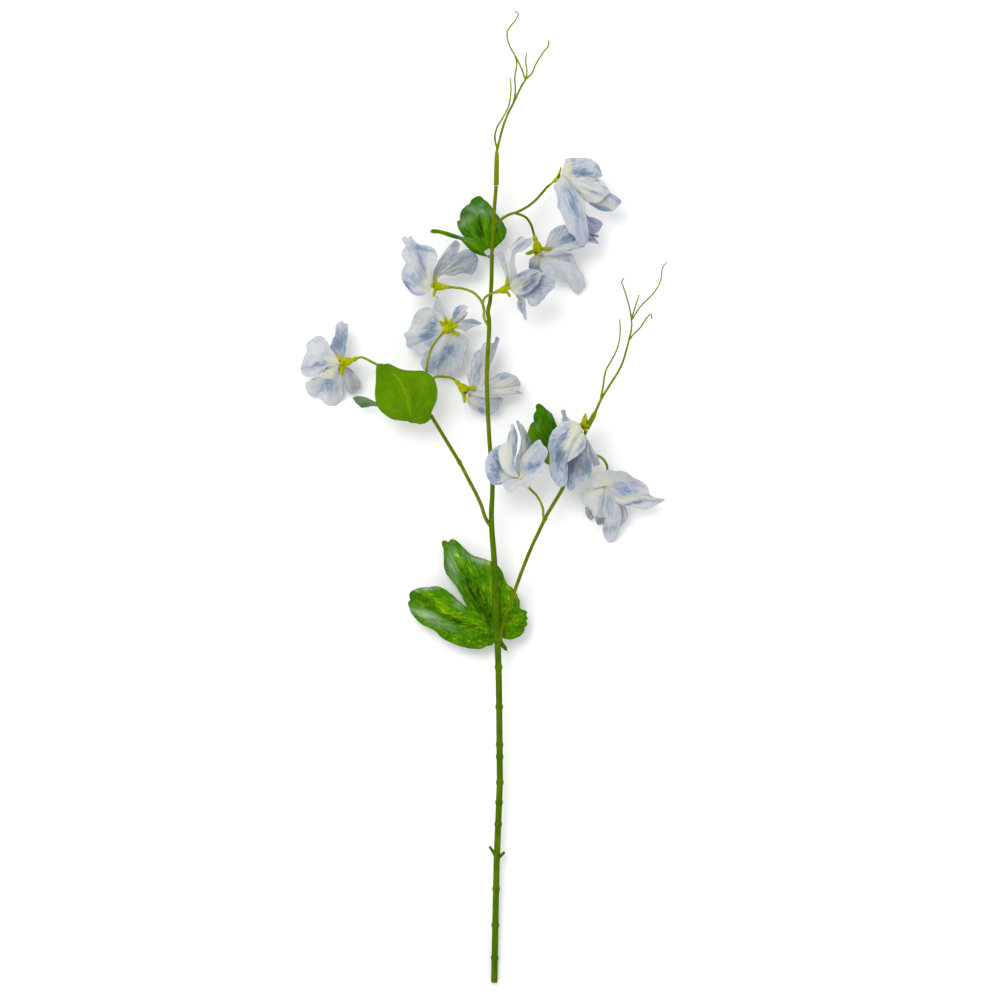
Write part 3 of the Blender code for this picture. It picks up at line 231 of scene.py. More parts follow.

# Leaves: the petiole ends at the claw, and the lobes are drawn from there like petals.
# Their dabs are (tint, x, y, length, width, turn, strength); gloss dabs also paint a highlight.
LEAVES = {
    "leaf_upper_right": ([(-1.4, 547, 25, 0.9), (-1.4, 549.5, 23.1, 0.9), (-2, 552, 22.8, 0.9)], [
        Petal([(-5, 1, -2), (-10, 3.5, -4)],
              [(-17.6, 7.3, -6), (-21.4, 10.5, -8), (-24.6, 15.5, -10), (-25.7, 20.8, -11),
               (-23.9, 22.6, -11), (-24, 26, -11), (-22.6, 29.5, -11), (-19, 33, -10), (-16.3, 34.4, -9),
               (-15, 37, -9), (-12, 39.2, -8), (-8.5, 39.9, -7), (-6, 37.6, -6), (-2.6, 35.1, -6),
               (0.8, 30.7, -6), (4.4, 25.4, -6.5), (7.6, 21.6, -7), (10.2, 17.8, -8), (11.7, 14, -8),
               (10.6, 9.8, -7), (8, 6.4, -5)], [(2, 0.6, -1), (4.9, 3, -3)], 0.0, 1.0,
              [(LIGHT, -13, 12, 20, 3, 110, 0.8), (LIGHT, -17, 15, 15, 2, 125, 0.5),
               (LIGHT, -5, 14, 20, 4, 95, 0.9), (LIGHT, 4, 9, 14, 5, 60, 0.7),
               (LIGHT, -8, 3, 14, 4, 0, 0.6), (LIGHT, -12, 37, 8, 2, 30, 0.3),
               (DARK, -8.5, 15, 22, 1.6, 97, 1.0), (DARK, -19, 27, 14, 5, 30, 0.5),
               (DARK, -1, 19, 12, 2, 80, 0.5), (GLOSS_AND_HIGHLIGHT, -9, 28.5, 18, 4, -22, 1.0),
               (GLOSS_AND_HIGHLIGHT, -20, 20.5, 9, 5, 40, 0.9), (GLOSS_AND_HIGHLIGHT, 1, 24, 12, 2.5, 110, 0.9),
               (GLOSS_AND_HIGHLIGHT, 5.5, 20, 8, 2, 110, 0.5), (GLOSS_AND_HIGHLIGHT, -7, 34, 6, 2, 20, 0.4)],
              [(-5, 3, -9.5, 27, 1.6, -1.6), (-8, 4, -18, 22, 1.5, 0.7), (-2, 4, 2, 26, 1.5, 0.6),
               (-14, 31, -2, 27, 2.2, 0.8)]),
    ]),
    "leaf_upper_left": ([(-1.2, 545.4, 26, 1.2), (-3, 546, 26, 1.2), (-5, 546, 26, 1.2)], [
        Petal([(-0.7, 0.2, -1), (-5, 1.3, -3), (-9.8, 3.2, -4), (-13.5, 6.1, -5), (-16.7, 9.9, -5),
               (-19.4, 13, -4), (-26.4, 14.8, -2), (-33, 17, -2)],
              [(-40.3, 17.6, -2), (-42.3, 18.3, -2), (-42.6, 19.3, -2), (-41, 20.3, -1.5), (-36, 20, -1)],
              [(-2, 2.4, 1), (-2.6, 4.2, 2), (0.4, 6.2, 3.5), (-3.9, 8.9, 5), (-9.3, 11.5, 5.5),
               (-14.6, 13.6, 5), (-18.7, 14.4, 3.5), (-24.2, 16.3, 1), (-29, 17.8, 0)], 0.0, 0.5,
              [(LIGHT, -11, 9.5, 22, 2.5, -32, 1.0), (LIGHT, -36, 18.5, 16, 2.5, -8, 1.0),
               (DARK, -9, 3.8, 14, 1.2, -24, 0.7), (GLOSS_AND_HIGHLIGHT, -17, 13.4, 10, 1.4, -20, 0.8),
               (DARK, -25, 15.5, 8, 1, -20, 0.5)],
              [(-2, 3, -20, 13, 1, 1.0), (-20, 13.8, -40, 19, 0.8, 0.5)]),
    ]),
    "leaf_left_large": ([(-46.8, 426.3, 19.2, 0.9), (-48.4, 424.7, 20.2, 0.9), (-54, 424.2, 24.2, 0.9),
                         (-60, 424.5, 26.5, 0.9)], [
        Petal([(1.3, -1, 0.5), (1.3, -2.6, 0.5)],
              [(-2, -3.4, 0), (-5.4, -1.6, 0), (-11.6, -0.4, 0.5), (-17.5, 0.5, 1), (-22.3, 3.5, 0.5),
               (-26.6, 8.4, 0), (-28.9, 14.8, -1), (-29.2, 20.5, -1), (-28.5, 28.7, -1), (-28.2, 36.2, 0),
               (-27.6, 40, 0), (-25, 41.4, 0), (-22.3, 40.8, 0.5), (-19.1, 41.6, 1), (-14.8, 39.4, 1.5),
               (-8.4, 36.7, 2), (-0.9, 36, 3), (6.6, 36, 3), (12, 33.3, 3), (15.4, 29, 2),
               (17.1, 23.4, 1), (17.6, 18, 1), (16.3, 12, 1), (13.8, 6.8, 0.5), (12.4, 3, 0),
               (11.8, -0.6, 0), (8.8, -2.9, 0)], [(-0.8, -1, -0.5), (-0.4, -2.6, -0.5), (4.5, -4, 0)],
              0.0, 1.6,
              [(LIGHT, -2.6, 5, 14, 0.8, 98, 1.0), (LIGHT, -4.6, 14, 14, 0.8, 108, 1.0),
               (LIGHT, -9, 23.5, 13, 0.8, 122, 1.0), (LIGHT, -14.3, 32, 14, 0.8, 125, 1.0),
               (DARK, -19, 37, 10, 2, 130, 0.6), (DARK, 4, 12, 24, 7, 110, 0.3),
               (DARK, 10, 1, 10, 4, 60, 0.4), (DARK, -24, 36, 8, 5, 60, 0.3),
               (LIGHT, 4, 26, 12, 6, 30, 0.25), (DARK, -2, 0, 10, 3, 0, 0.3)],
              [(-1.5, 0, -3.4, 10, 0.7, 0.7), (-3.2, 9, -7.4, 21, 0.7, 0.7),
               (-7, 20, -12, 28.5, 0.7, 0.7), (-11.6, 28, -18, 38, 0.7, 0.6), (-5, 8, 12, 22, 1.4, -0.35),
               (-8, 15, 6, 33, 1.4, -0.35), (-4, 7, -24, 20, 1.4, -0.35), (-9, 18, -27, 32, 1.4, -0.35)]),
    ]),
    "leaf_left_small": ([(-47.4, 427, 18.8, 0.9), (-49.6, 426.5, 17.4, 0.9), (-53, 429.5, 16, 0.9)], [
        Petal([(-12, 3.2, 1), (-25, 5.6, 3), (-34.5, 7, 4), (-38.9, 9, 3.5), (-43.2, 11, 3)],
              [(-48.6, 12, 1.5), (-52.2, 11.5, 0), (-53, 10.2, -1), (-50.3, 6.9, -4), (-47, 3.9, -6)],
              [(-12, 1.4, -1), (-25, 3.4, -4), (-34, 4.6, -6), (-39, 5.3, -7), (-43.2, 4.4, -7)], 0.0, 0.6,
              [(GLOSS_AND_HIGHLIGHT, -45, 9.5, 14, 3, 10, 0.9), (GLOSS_AND_HIGHLIGHT, -40, 5.5, 8, 2, 10, 0.5),
               (LIGHT, -34, 5.6, 8, 4, 0, 1.0)], [(-20, 4, -51, 9, 1, -0.6)]),
    ]),
    "leaf_right_dark": ([(61.2, 397.4, 23.8, 0.9), (59.6, 397, 22.6, 0.9), (57, 396, 21, 0.9)], [
        Petal([(-8, 1, -2), (-16.5, 2.5, -4), (-21, 8, -5)],
              [(-25.2, 15.4, -6), (-27, 22, -6), (-27.6, 28, -6), (-27.2, 32.4, -6), (-25.4, 35.2, -6),
               (-25.8, 38.4, -6.5), (-24, 40.3, -7), (-21.8, 39.4, -6.5), (-18.6, 36.4, -5),
               (-15, 33.6, -4), (-13.5, 29.6, -4), (-12.7, 25, -3), (-10.5, 21, -3)],
              [(-1, 4, -1), (-4, 12, -2)], 0.0, 1.0,
              [(DARK, -15, 17, 24, 7, 75, 0.7), (LIGHT, -22, 30, 16, 3, 75, 0.5),
               (GLOSS_AND_HIGHLIGHT, -15.5, 31.5, 6, 1.5, 110, 0.8), (GLOSS_AND_HIGHLIGHT, -25.5, 25, 8, 1, 90, 0.4),
               (DARK, -21, 10, 10, 3, 130, 0.4)], [(-8, 4, -23, 36, 1.4, -1.0)]),
    ]),
    "leaf_right_light": ([(61, 393.6, 23.4, 0.9), (58.8, 394.2, 21.8, 0.9), (55.5, 392.5, 18, 0.9)], [
        Petal([(-10, 14, -3), (-16, 26, -5)],
              [(-22, 31, -6), (-27, 29.5, -7), (-29.5, 24, -8), (-30, 20.5, -8), (-27.7, 12.5, -9),
               (-22.5, 5.5, -9), (-17.5, -0.5, -8), (-11, -3.5, -5)], [(-4, -1.5, -2)], 0.0, 0.4,
              [(LIGHT, -26, 24, 14, 3, 70, 0.6), (DARK, -20, 8, 14, 5, 50, 0.4)],
              [(-6, 4, -25, 24, 1.2, -0.5)]),
    ]),
    "leaf_lower": ([(3, 258, 18.4, 1.1), (3, 261, 16.1, 1.1), (-1, 267, 15.6, 1.1)], [
        Petal([(2.6, -1.6, 0), (2.8, -5, 0), (1.8, -9, -1)],
              [(-0.5, -12.4, -2), (-4.4, -13, -2.5), (-6.3, -14.1, -3), (-11.6, -14.9, -4),
               (-21.3, -13.8, -4), (-32, -10.4, -4), (-38.4, -6.6, -4), (-43.8, -1.3, -5),
               (-51.3, 2.5, -6), (-56.6, 6.2, -6), (-60.9, 11, -6), (-63.1, 15.9, -7), (-63.9, 19.8, -7),
               (-62.4, 21.7, -7), (-62.9, 25.3, -7), (-60.4, 28.7, -7), (-54.5, 30.9, -6),
               (-48.1, 31.2, -6), (-43.3, 32, -5), (-37.4, 30.3, -5), (-32, 26.6, -4), (-28.3, 22.8, -3),
               (-25.6, 17.5, -3)], [(-7, 4.6, 0), (-14, 9, -1), (-19.3, 12.2, -2)], 0.0, 1.4,
              [(DARK, -20, 4, 30, 3, -22, 0.9), (LIGHT, -38, 17, 40, 3.5, -34, 1.0),
               (LIGHT, -12, 3, 18, 3, -36, 0.9), (LIGHT, -24, -7, 34, 3, -16, 0.4),
               (DARK, -52, 22, 20, 5, -20, 0.7), (DARK, -34, 8, 26, 3, -28, 0.6),
               (DARK, -28, -2, 26, 2.5, -20, 0.6), (GLOSS_AND_HIGHLIGHT, -49, 9, 24, 4.5, -25, 1.0),
               (GLOSS_AND_HIGHLIGHT, -33, 1.5, 14, 2, -15, 0.6), (GLOSS_AND_HIGHLIGHT, -50, 30, 18, 1.6, 5, 1.0),
               (GLOSS_AND_HIGHLIGHT, -27, 19, 10, 2, 130, 0.8), (DARK, -12, -10, 12, 5, 0, 0.4)],
              [(-6, -2, -60, 20, 1.8, -1.6), (-12, -6, -46, 2, 1.3, 0.5), (-20, 6, -50, 26, 1.3, 0.6)]),
        Petal([(-7, 4, 0), (-13.8, 9.6, -1), (-16.5, 17.5, -2), (-19.1, 23.9, -3)],
              [(-23.4, 29.3, -4), (-29.3, 35.1, -5), (-34.7, 41, -6), (-36.8, 46.4, -7), (-37, 52.8, -7),
               (-37.2, 59.3, -8), (-38.4, 63.5, -8), (-37.9, 66.2, -8), (-35.4, 66.2, -8),
               (-33.6, 64.8, -8), (-32, 67.1, -8), (-29.3, 67.2, -8), (-25.6, 64.6, -8),
               (-21.3, 60.3, -7), (-15.9, 55.5, -6), (-9.5, 53.4, -5), (-3.1, 51.2, -4), (3.4, 47.5, -4),
               (7.1, 42.6, -4), (10.3, 34.6, -3), (15.1, 30.3, -3), (17.3, 27.1, -3), (19.2, 22.5, -3.5)],
              [(6, 5, 0), (13, 13, -1.5)], 0.0, 1.4,
              [(DARK, -15, 27, 36, 9, 122, 1.0), (DARK, -11, 20, 24, 8, 116, 0.7),
               (DARK, -7, 14, 22, 4, 108, 1.0), (LIGHT, -24, 52, 30, 4, 138, 1.0),
               (LIGHT, -1, 33, 34, 5, 98, 0.7), (LIGHT, 11, 26, 24, 5, 110, 1.0),
               (DARK, -33, 42, 20, 3, 100, 0.4), (GLOSS_AND_HIGHLIGHT, -30, 47, 20, 4, 100, 0.8),
               (GLOSS_AND_HIGHLIGHT, -12, 52, 18, 3, 160, 0.9), (GLOSS_AND_HIGHLIGHT, -27, 56, 12, 2.5, 130, 0.5),
               (LIGHT, -8, 5, 10, 4, 30, 0.6), (DARK, -30, 62, 8, 4, 50, 0.4)],
              [(-4, 6, -16, 32, 1.6, -1.6), (-16, 32, -33, 60, 1.6, -1.0), (-2, 8, 0, 44, 1.5, 0.6),
               (-18, 30, -8, 50, 1.5, 0.5), (2, 6, 14, 26, 1.4, -0.5)]),
        Petal([(6, 5, 0), (13, 13, -1.5)],
              [(19.2, 22.5, -3.5), (20, 20, -4), (20.6, 15.6, -4), (25.6, 12.8, -4), (24.9, 10.4, -4),
               (26.3, 8, -4), (25.1, 5.9, -4), (26.1, 3.2, -4), (23.9, 1.2, -3), (23.6, -1.8, -3),
               (20.5, -5.6, -3), (16.2, -7.6, -3), (11.9, -8.2, -2)], [(3, -3.4, 0), (7.6, -6.8, -1)],
              0.0, 0.5,
              [(LIGHT, 15, 6, 18, 5, 20, 0.9), (DARK, 19, 0, 10, 3, -20, 0.4),
               (LIGHT, 12, -4, 16, 3, -20, 0.4)], [(4, 0, 24, 6, 1.4, -0.7), (6, 3, 20, 16, 1.3, 0.4)]),
        Petal([(6, -4, 0), (6.4, -7.5, -1)],
              [(7.4, -9.8, -2), (9.6, -13.4, -3), (11, -17, -4), (7.6, -14.8, -4), (3, -11, -3)],
              [(-2, -6, -1), (-1.5, -9, -2)], 0.0, 0.1, [(DARK, 5, -11, 16, 4, -50, 0.8)], []),
    ]),
}

# Each leaf's paint and slot name.
LEAF_KIND = {
    "leaf_upper_right": ("leaf_dark", "leaf_dark"),
    "leaf_upper_left": ("leaf_dark", "leaf_dark"),
    "leaf_left_large": ("leaf_bright", "leaf_bright"),
    "leaf_left_small": ("leaf_grey", "leaf_grey"),
    "leaf_right_dark": ("leaf_dark", "leaf_dark"),
    "leaf_right_light": ("leaf_bright", "leaf_bright"),
    "leaf_lower": ("leaf_variegated", "leaf_dark"),
}


# Each layer of petals is (height of its claw in claw steps, its petals).
# Sepals are (turn round the calyx, length, width, lean towards the petals).
BLOSSOMS = {
    "blossom_01": Blossom(
        (50.3, 606.8, 26), (0.57, 0.42, 0.71), 9, 3.5,
        sepals=((0, 4.5, 2.2, 1), (75, 4.5, 2, 1), (190, 4.2, 1.8, 7.4), (225, 3, 1.8, 2), (300, 4, 2, 1)),
        girth=0.6,
        banner=(1, [
            Petal([(1, 5, 1)],
                  [(3, 11.3, 3), (6, 12.8, 3), (12, 13, 2), (18, 13, 2), (22.5, 11.7, 2.5),
                   (26, 9.3, 3.5), (28.5, 6.3, 5), (30, 2.5, 6), (30.5, -1, 7)],
                  [(5, -4, 1), (14, -5, 2.5), (24, -4.4, 5)], 0.2, 2.2,
                  [(BLUE, 8, 10, 5, 2.5, 0, 0.8), (LILAC, 10, 10.5, 3, 3, 80, 0.8),
                   (BLUE, 16, 1, 20, 4, -10, 1.0), (SLATE_AND_SHADE, 17, 0.6, 16, 2.4, -10, 0.45),
                   (SLATE_AND_SHADE, 24, 5, 12, 8, 60, 0.15), (BLUE, 13, 4, 9, 5, 0, 0.35),
                   (CREAM, 4, 4, 16, 5, 70, 1.0), (CREAM, 14, -4.6, 26, 3, -2, 1.0),
                   (LILAC, 18, 8, 9, 3, -30, 0.3), (BLUE, 28, 5, 8, 2, -70, 0.5)],
                  [(3, 1, 22, 0, 2.4, -1.6), (5, 8, 20, 11, 2, 0.5), (12, 4, 27, 7, 1.5, 0.4)]),
            Petal([(-2, -3, 2), (-6, -8.5, 3), (-4, -13, 3.5), (-2.8, -19, 4), (-3, -24, 4.5),
                   (0, -28.5, 5), (3, -37, 5)],
                  [(6, -43, 5), (10, -46.5, 5), (13, -52.3, 4), (17, -52.5, 4), (19.8, -50.6, 4),
                   (20.6, -47, 4), (20.4, -43.5, 4.5), (20, -40, 5)],
                  [(4, -3.4, 3), (9, -9, 4), (13, -15, 4.5), (17, -19.5, 5), (18, -26, 5.5),
                   (18.8, -33, 6)], 0.28, 1.6,
                  [(BLUE, 8, -17, 22, 5, -74, 0.55), (BLUE, 11, -26, 12, 2, -80, 0.9),
                   (LILAC, 10, -30, 3, 1.5, 0, 0.5), (LILAC, 14, -44, 20, 3.5, -80, 0.75),
                   (CREAM, 15, -24, 14, 1.6, -78, 0.35), (LILAC, 23, -48, 9, 4, 0, 0.9),
                   (BLUE, 0, -14, 14, 2, -80, 0.25), (CREAM, 7, -43, 7, 2.4, -60, 0.5)],
                  [(8, -10, 14, -42, 1.6, -1.3), (13, -18, 17, -44, 1.2, 1.1), (1, -12, 6, -38, 1.2, 0.6),
                   (11, -36, 14, -51, 0.7, -0.9), (17, -38, 18, -50, 0.7, -0.8)]),
        ]),
        wings=(-1, [
            Petal([(10, -9, -3)],
                  [(22, -21.5, -4), (28, -25.5, -4), (34, -26.9, -3), (39, -26.3, -2), (42.5, -23, -1),
                   (45, -20.5, 0), (43, -17.3, 0), (39, -15.2, -1), (35, -13, -1)],
                  [(15, -6, -3), (28, -8, -3)], 0.3, 0.8,
                  [(BLUE, 30, -24.8, 18, 2.2, -12, 1.0), (CREAM, 34, -21.5, 14, 1.6, -20, 0.9),
                   (LILAC, 38, -17, 12, 3, -20, 0.6), (LILAC, 43, -19, 4, 3, 0, 0.5)],
                  [(30, -17, 43, -21, 1.3, 1.2), (26, -23, 38, -24, 1.2, -1.0)]),
            Petal([(5, -17, -5), (11, -33, -7)],
                  [(17, -38.5, -8), (20, -41.5, -8), (24, -43.5, -8), (28, -41.5, -7.5), (30, -38.5, -7),
                   (31.3, -36, -6.5), (29, -33.3, -6.5), (25, -31.5, -6), (22.5, -30.6, -6)],
                  [(7, -16, -5), (12.5, -27, -6), (17, -30.3, -6)], 0.5, 0.3,
                  [(LILAC, 24, -36, 12, 6, -40, 0.9), (BLUE, 28, -38, 8, 4, 60, 0.6)],
                  [(20, -33, 27, -40, 1.4, -0.7)]),
            Petal([(4, -16, 0), (9, -34, 0), (12, -47, 0)],
                  [(19, -48.8, 0), (24, -49.4, -0.5), (28, -50.6, -1), (26, -48, -0.5), (21, -46.8, 0)],
                  [(6, -16, 0), (11, -33, 0), (14, -45, 0)], 0.1, 0.0, [(LILAC, 24, -48.5, 10, 4, 0, 0.9)],
                  []),
            Petal([(4, -14, -1), (9, -30, -2), (12, -41, -2.5)],
                  [(20.4, -44.4, -2.5), (24, -46, -2.5), (28.5, -46, -3), (25, -44.2, -2.5),
                   (21.6, -41.6, -2.5)], [(6, -14, -1), (11, -30, -2), (14, -39, -2.5)], 0.1, 0.0,
                  [(LILAC, 24, -45, 10, 4, 0, 0.9), (BLUE, 24, -45, 8, 3, 0, 0.4)], []),
        ]),
        keel=(0, [
            Petal([(6, -7, 0)],
                  [(12, -16, 0), (16, -18.6, 0), (23, -20.5, 0.5), (29, -19.5, 1), (33, -16, 2),
                   (36, -12.8, 3), (34, -9, 4), (32, -6, 5), (29, -3.5, 4)], [(7, -1.5, 1), (18, -2.5, 2)],
                  0.02, 1.6,
                  [(CREAM, 18, -13, 24, 5, -28, 0.6), (LILAC, 24, -13, 15, 1.3, -22, 0.8),
                   (BLUE, 27, -13.5, 8, 1, -20, 0.4), (LILAC, 33, -12, 6, 4, 0, 0.3),
                   (CREAM, 9, -6, 5, 3, 0, 0.5)],
                  [(17, -10.5, 32, -15.5, 0.9, -1.5), (30, -6, 35, -9, 0.6, 0.9),
                   (29, -8, 35, -11.5, 0.6, -0.8), (12, -10, 26, -18, 2.5, 0.8)]),
        ])),
    "blossom_02": Blossom(
        (33.8, 548.3, 20), (0.23, -0.89, 0.40), 9.5, 3.5,
        sepals=((22, 8, 3.2, 2), (152, 8.5, 3, 3), (92, 5, 4, 5), (250, 4, 2, 1), (300, 4, 2, 1)),
        girth=1.2,
        banner=(1, [
            Petal([(3, 3, 1), (5.2, 8, 3)],
                  [(6.2, 12.5, 4), (9, 17, 4), (13, 20, 4), (18, 21.5, 3), (23, 20.5, 3), (27, 17, 2),
                   (28.5, 12, 2)], [(8, 2, 1), (18, 5, 2), (26, 8, 2)], 0.25, 1.4,
                  [(BLUE, 24, 12, 10, 3.4, 20, 1.0), (BLUE, 21, 9.5, 10, 2.5, 20, 0.7),
                   (BLUE, 15, 14, 14, 5, 50, 0.3), (CREAM, 8, 12, 14, 3, 70, 0.3),
                   (LILAC, 12, 17, 10, 2, 50, 0.3), (CREAM, 8, 8, 8, 2, 60, 0.2)],
                  [(7, 5, 12, 18, 1.2, 0.5), (10, 5, 20, 19, 1.2, -0.6), (14, 6, 26, 16, 1.2, 0.6)]),
        ]),
        wings=(-1, [
            Petal([(0.6, -4, -2), (0.4, -8, -3), (1.6, -12, -4)],
                  [(4.5, -16, -6), (10, -19.3, -8), (17, -20.4, -10.5), (22, -21.5, -12.5),
                   (24.6, -25.6, -15), (28.4, -28.8, -17.6), (32, -27.4, -17.4), (35, -22.2, -15),
                   (33.3, -16.5, -11), (30, -11, -8)],
                  [(6, -1, -1), (14, -0.5, -3), (24, 1, -5), (26.8, -5, -6)], 0.08, 2.4,
                  [(BLUE, 22, -4, 12, 4, -35, 0.6), (BLUE, 17, -3.2, 12, 1.6, -12, 0.5),
                   (CREAM, 10, -1.5, 14, 0.9, -5, 0.8), (BLUE, 28, -18, 12, 2.5, -60, 0.2),
                   (LILAC, 12, -12, 14, 7, 0, 0.12), (CREAM, 2, -7, 6, 1.5, 80, 0.4)],
                  [(4, -3.5, 24, -2.5, 1.1, -1.0), (26, -24, 31, -20, 1, 0.4)]),
            # A back petal dyed slate: painted shade under the wing.
            Petal([(-4, -1.5, -2)],
                  [(-7.3, -4, -5), (-7.8, -9, -8), (-7.5, -12.8, -9), (-3, -14.3, -9), (2.6, -16, -9)],
                  [(0.8, -3, -1), (2, -9, -5)], 0.5, 0.2,
                  [(SLATE_AND_SHADE, -4, -11, 12, 5, 0, 0.75), (LILAC, -6, -12.5, 8, 2, 0, 0.5),
                   (CREAM, -4, -4, 6, 4, 0, 0.4)], [(-3, -3, -5, -13, 1, -0.5)]),
        ]),
        keel=(0, [
            Petal([(4, 1, 1), (10, 3.5, 2), (17, 6.5, 3)],
                  [(24, 9, 3), (30, 9.5, 3), (35, 8, 2.5), (34, 6.3, 2.5), (30, 5.3, 2)],
                  [(5, -1.2, 0.5), (11, -0.8, 0.5), (18, 0.5, 1), (25, 3, 1.5)], 0.05, 0.9,
                  [(BLUE, 20, 2.2, 14, 1.4, 15, 1.0), (LILAC, 18, 5, 14, 1.2, 18, 0.35),
                   (LILAC, 31, 7, 8, 2.5, 0, 0.7), (CREAM, 14, 4, 12, 1.6, 20, 0.6)],
                  [(8, 2, 26, 6, 1.0, 0.9)]),
        ])),
    "blossom_03": Blossom(
        (11.25, 522, 32), (0.96, 0.28, 0), 7, 3,
        sepals=((0, 4.5, 2.2, 1), (180, 7, 2, 3), (90, 4, 2.6, 2.5), (135, 5, 2, 3), (270, 4, 2, 1)),
        banner=(1, [
            Petal([(8, 6, -1), (16, 10.5, 2)],
                  [(22, 11.8, 5), (26, 10, 6), (31, 8, 7.5), (34, 5, 8), (33.8, 0, 8), (29, -4, 7),
                   (25, -9, 6), (21, -13, 5), (17, -13.7, 4), (14, -11.5, 3)],
                  [(3, -3, -1), (9, -5, 0), (13, -7.5, 2)], 0.4, 0.6,
                  [(BLUE, 23, 5, 13, 5, 75, 0.35), (BLUE, 21, -3, 14, 6, 55, 0.2),
                   (SLATE_AND_SHADE, 28, -2, 20, 12, 60, 0.12), (CREAM, 17, -10, 8, 4, 45, 0.35),
                   (LILAC, 30, -2, 10, 1.2, 45, 0.5)],
                  [(18, 2, 32, 4, 1.4, -0.8), (16, -3, 27, -6, 1.2, 0.9), (30, 5, 22, -11, 0.8, 0.8)]),
            Petal([(1, 4, 2), (3, 8, 5)],
                  [(6.5, 10.2, 8), (10, 12.4, 9.5), (15, 13.7, 10.5), (20, 13.2, 10.5), (24, 10.5, 10),
                   (23, 6.5, 9.5), (20, 2, 9), (16, -2.5, 8), (11, -5, 5.5)], [(3, -4, 1), (7, -5.4, 3)],
                  0.2, -1.2,
                  [(BLUE, 15, 2, 15, 5, 38, 0.9), (SLATE_AND_SHADE, 15, 2.5, 15, 4, 40, 0.8),
                   (BLUE, 18, 6, 9, 3, 40, 0.6), (LILAC, 11, 10.8, 11, 1.7, 15, 0.9),
                   (BLUE, 7.5, 9.5, 3.5, 1.6, 30, 0.9), (CREAM, 6, 2, 12, 3.6, 20, 0.95),
                   (CREAM, 4, -3, 9, 1.8, -20, 0.9), (LILAC, 16, -3, 9, 1.2, 40, 0.6),
                   (CREAM, 14, 7, 12, 1.4, 30, 0.35)],
                  [(4, 1, 20, 8, 1.8, -1.8), (3, 4, 12, 8, 1, 0.8), (4, -3, 14, -1, 1, 0.7)]),
        ]),
        wings=(-1, [
            Petal([(-1.5, 8, -2), (-3, 15, -3), (-4.5, 21, -3)],
                  [(-8, 23.3, -3), (-11.6, 25.6, -3), (-11, 28.8, -3), (-8, 29.3, -3), (-5, 27, -3),
                   (-3, 22.5, -3)], [(0.5, 8, -2), (-1.5, 15, -3)], 0.12, 0.5,
                  [(LILAC, -8, 26.5, 8, 2.4, 30, 0.45), (CREAM, -2, 12, 12, 1.5, 100, 0.5)],
                  [(-2, 10, -9, 27, 0.9, 0.6)]),
            Petal([(-1, 4, -1), (0, 9, 0), (-1.2, 16, 0.5), (-2.3, 22, 1), (-1.5, 28, 2)],
                  [(2.5, 33.3, 3), (7, 36.8, 4), (9, 38.8, 4), (11.5, 38.6, 4), (12, 36.8, 3.5),
                   (17.3, 37, 3), (16.5, 32, 2.5)],
                  [(3, 4, -1), (6, 9, 0), (4, 14, 0.5), (2.8, 20, 1), (4.5, 25.3, 2), (10, 28, 2.5)],
                  0.12, 1.2,
                  [(LILAC, 8, 29.5, 13, 2.2, 35, 0.6), (BLUE, 9, 32, 9, 2.4, 25, 0.4),
                   (LILAC, 3, 23, 6, 1, 75, 0.9), (CREAM, 0.5, 18, 24, 2, 95, 0.55)],
                  [(1, 8, 0.5, 26, 1, 0.9), (2, 27, 14, 35, 1.2, -0.9)]),
        ]),
        keel=(0, [
            Petal([(4, -4, -1), (6.3, -8, -1), (5.7, -12, -2)],
                  [(6.6, -15.5, -3), (8.8, -17.6, -4), (10.1, -19.2, -4.5), (10.8, -22, -5),
                   (12.4, -23.9, -6), (13.2, -22.8, -6), (12, -21, -5), (11.7, -18.4, -4.5),
                   (12, -15.5, -3.5)], [(6, -3.5, -1), (11.3, -7, -1), (12.3, -11, -2)], 0.2, 0.5,
                  [(BLUE, 8.5, -12, 8, 1.6, -70, 0.8), (LILAC, 9, -14, 9, 3, -75, 0.45),
                   (CREAM, 11, -9, 6, 1.5, -80, 0.4)], [(8, -7, 10, -17, 0.8, -0.8)]),
        ])),
    "blossom_04": Blossom(
        (-46.5, 523.9, 24), (-0.95, 0.07, -0.3), 9.5, 2.5,
        sepals=((10, 6, 2.2, 0), (180, 6, 2.4, 1), (90, 3.5, 3, 1.5), (45, 3, 2.4, 1), (270, 4, 2, 1)),
        banner=(0, [
            Petal([(-1.5, -3, 0), (-5, -6.3, 2)],
                  [(-10, -7.4, 2), (-15, -5.8, 3), (-19.5, -0.5, 4), (-22.8, 6, 5), (-22.3, 12.5, 5),
                   (-20, 17.3, 4), (-22.5, 22, 5), (-22, 27, 6), (-19.8, 30, 7), (-22.5, 34.5, 8),
                   (-20.5, 36.8, 8), (-18, 35.5, 8), (-15.3, 37.3, 8), (-13.5, 34, 7), (-9, 31, 6),
                   (-3, 30.3, 5), (1.5, 28, 5), (4, 23.5, 5), (3.6, 18.5, 4)], [(0.3, 4, 1), (1, 11, 3)],
                  0.1, -1.0,
                  [(BLUE, -5, 27.3, 14, 2.4, -8, 0.75), (BLUE, -13, 28, 9, 3, 0, 0.3),
                   (LILAC, -8, 17, 16, 2.2, -62, 0.8), (BLUE, -5, 13, 9, 1.4, -70, 0.6),
                   (BLUE, -14, 5, 14, 8, 20, 0.55), (BLUE, -10, 2, 8, 4, 0, 0.3),
                   (BLUE, -17, -3, 14, 3.4, -48, 0.95), (SLATE_AND_SHADE, -19, -2, 10, 1.4, -50, 0.5),
                   (LILAC, -11, -6, 10, 1.6, -10, 0.7), (CREAM, -2.5, 11, 14, 2.2, 85, 0.95),
                   (CREAM, -4, -4, 10, 2, -20, 0.7), (LILAC, -9, 23, 9, 3, -20, 0.45),
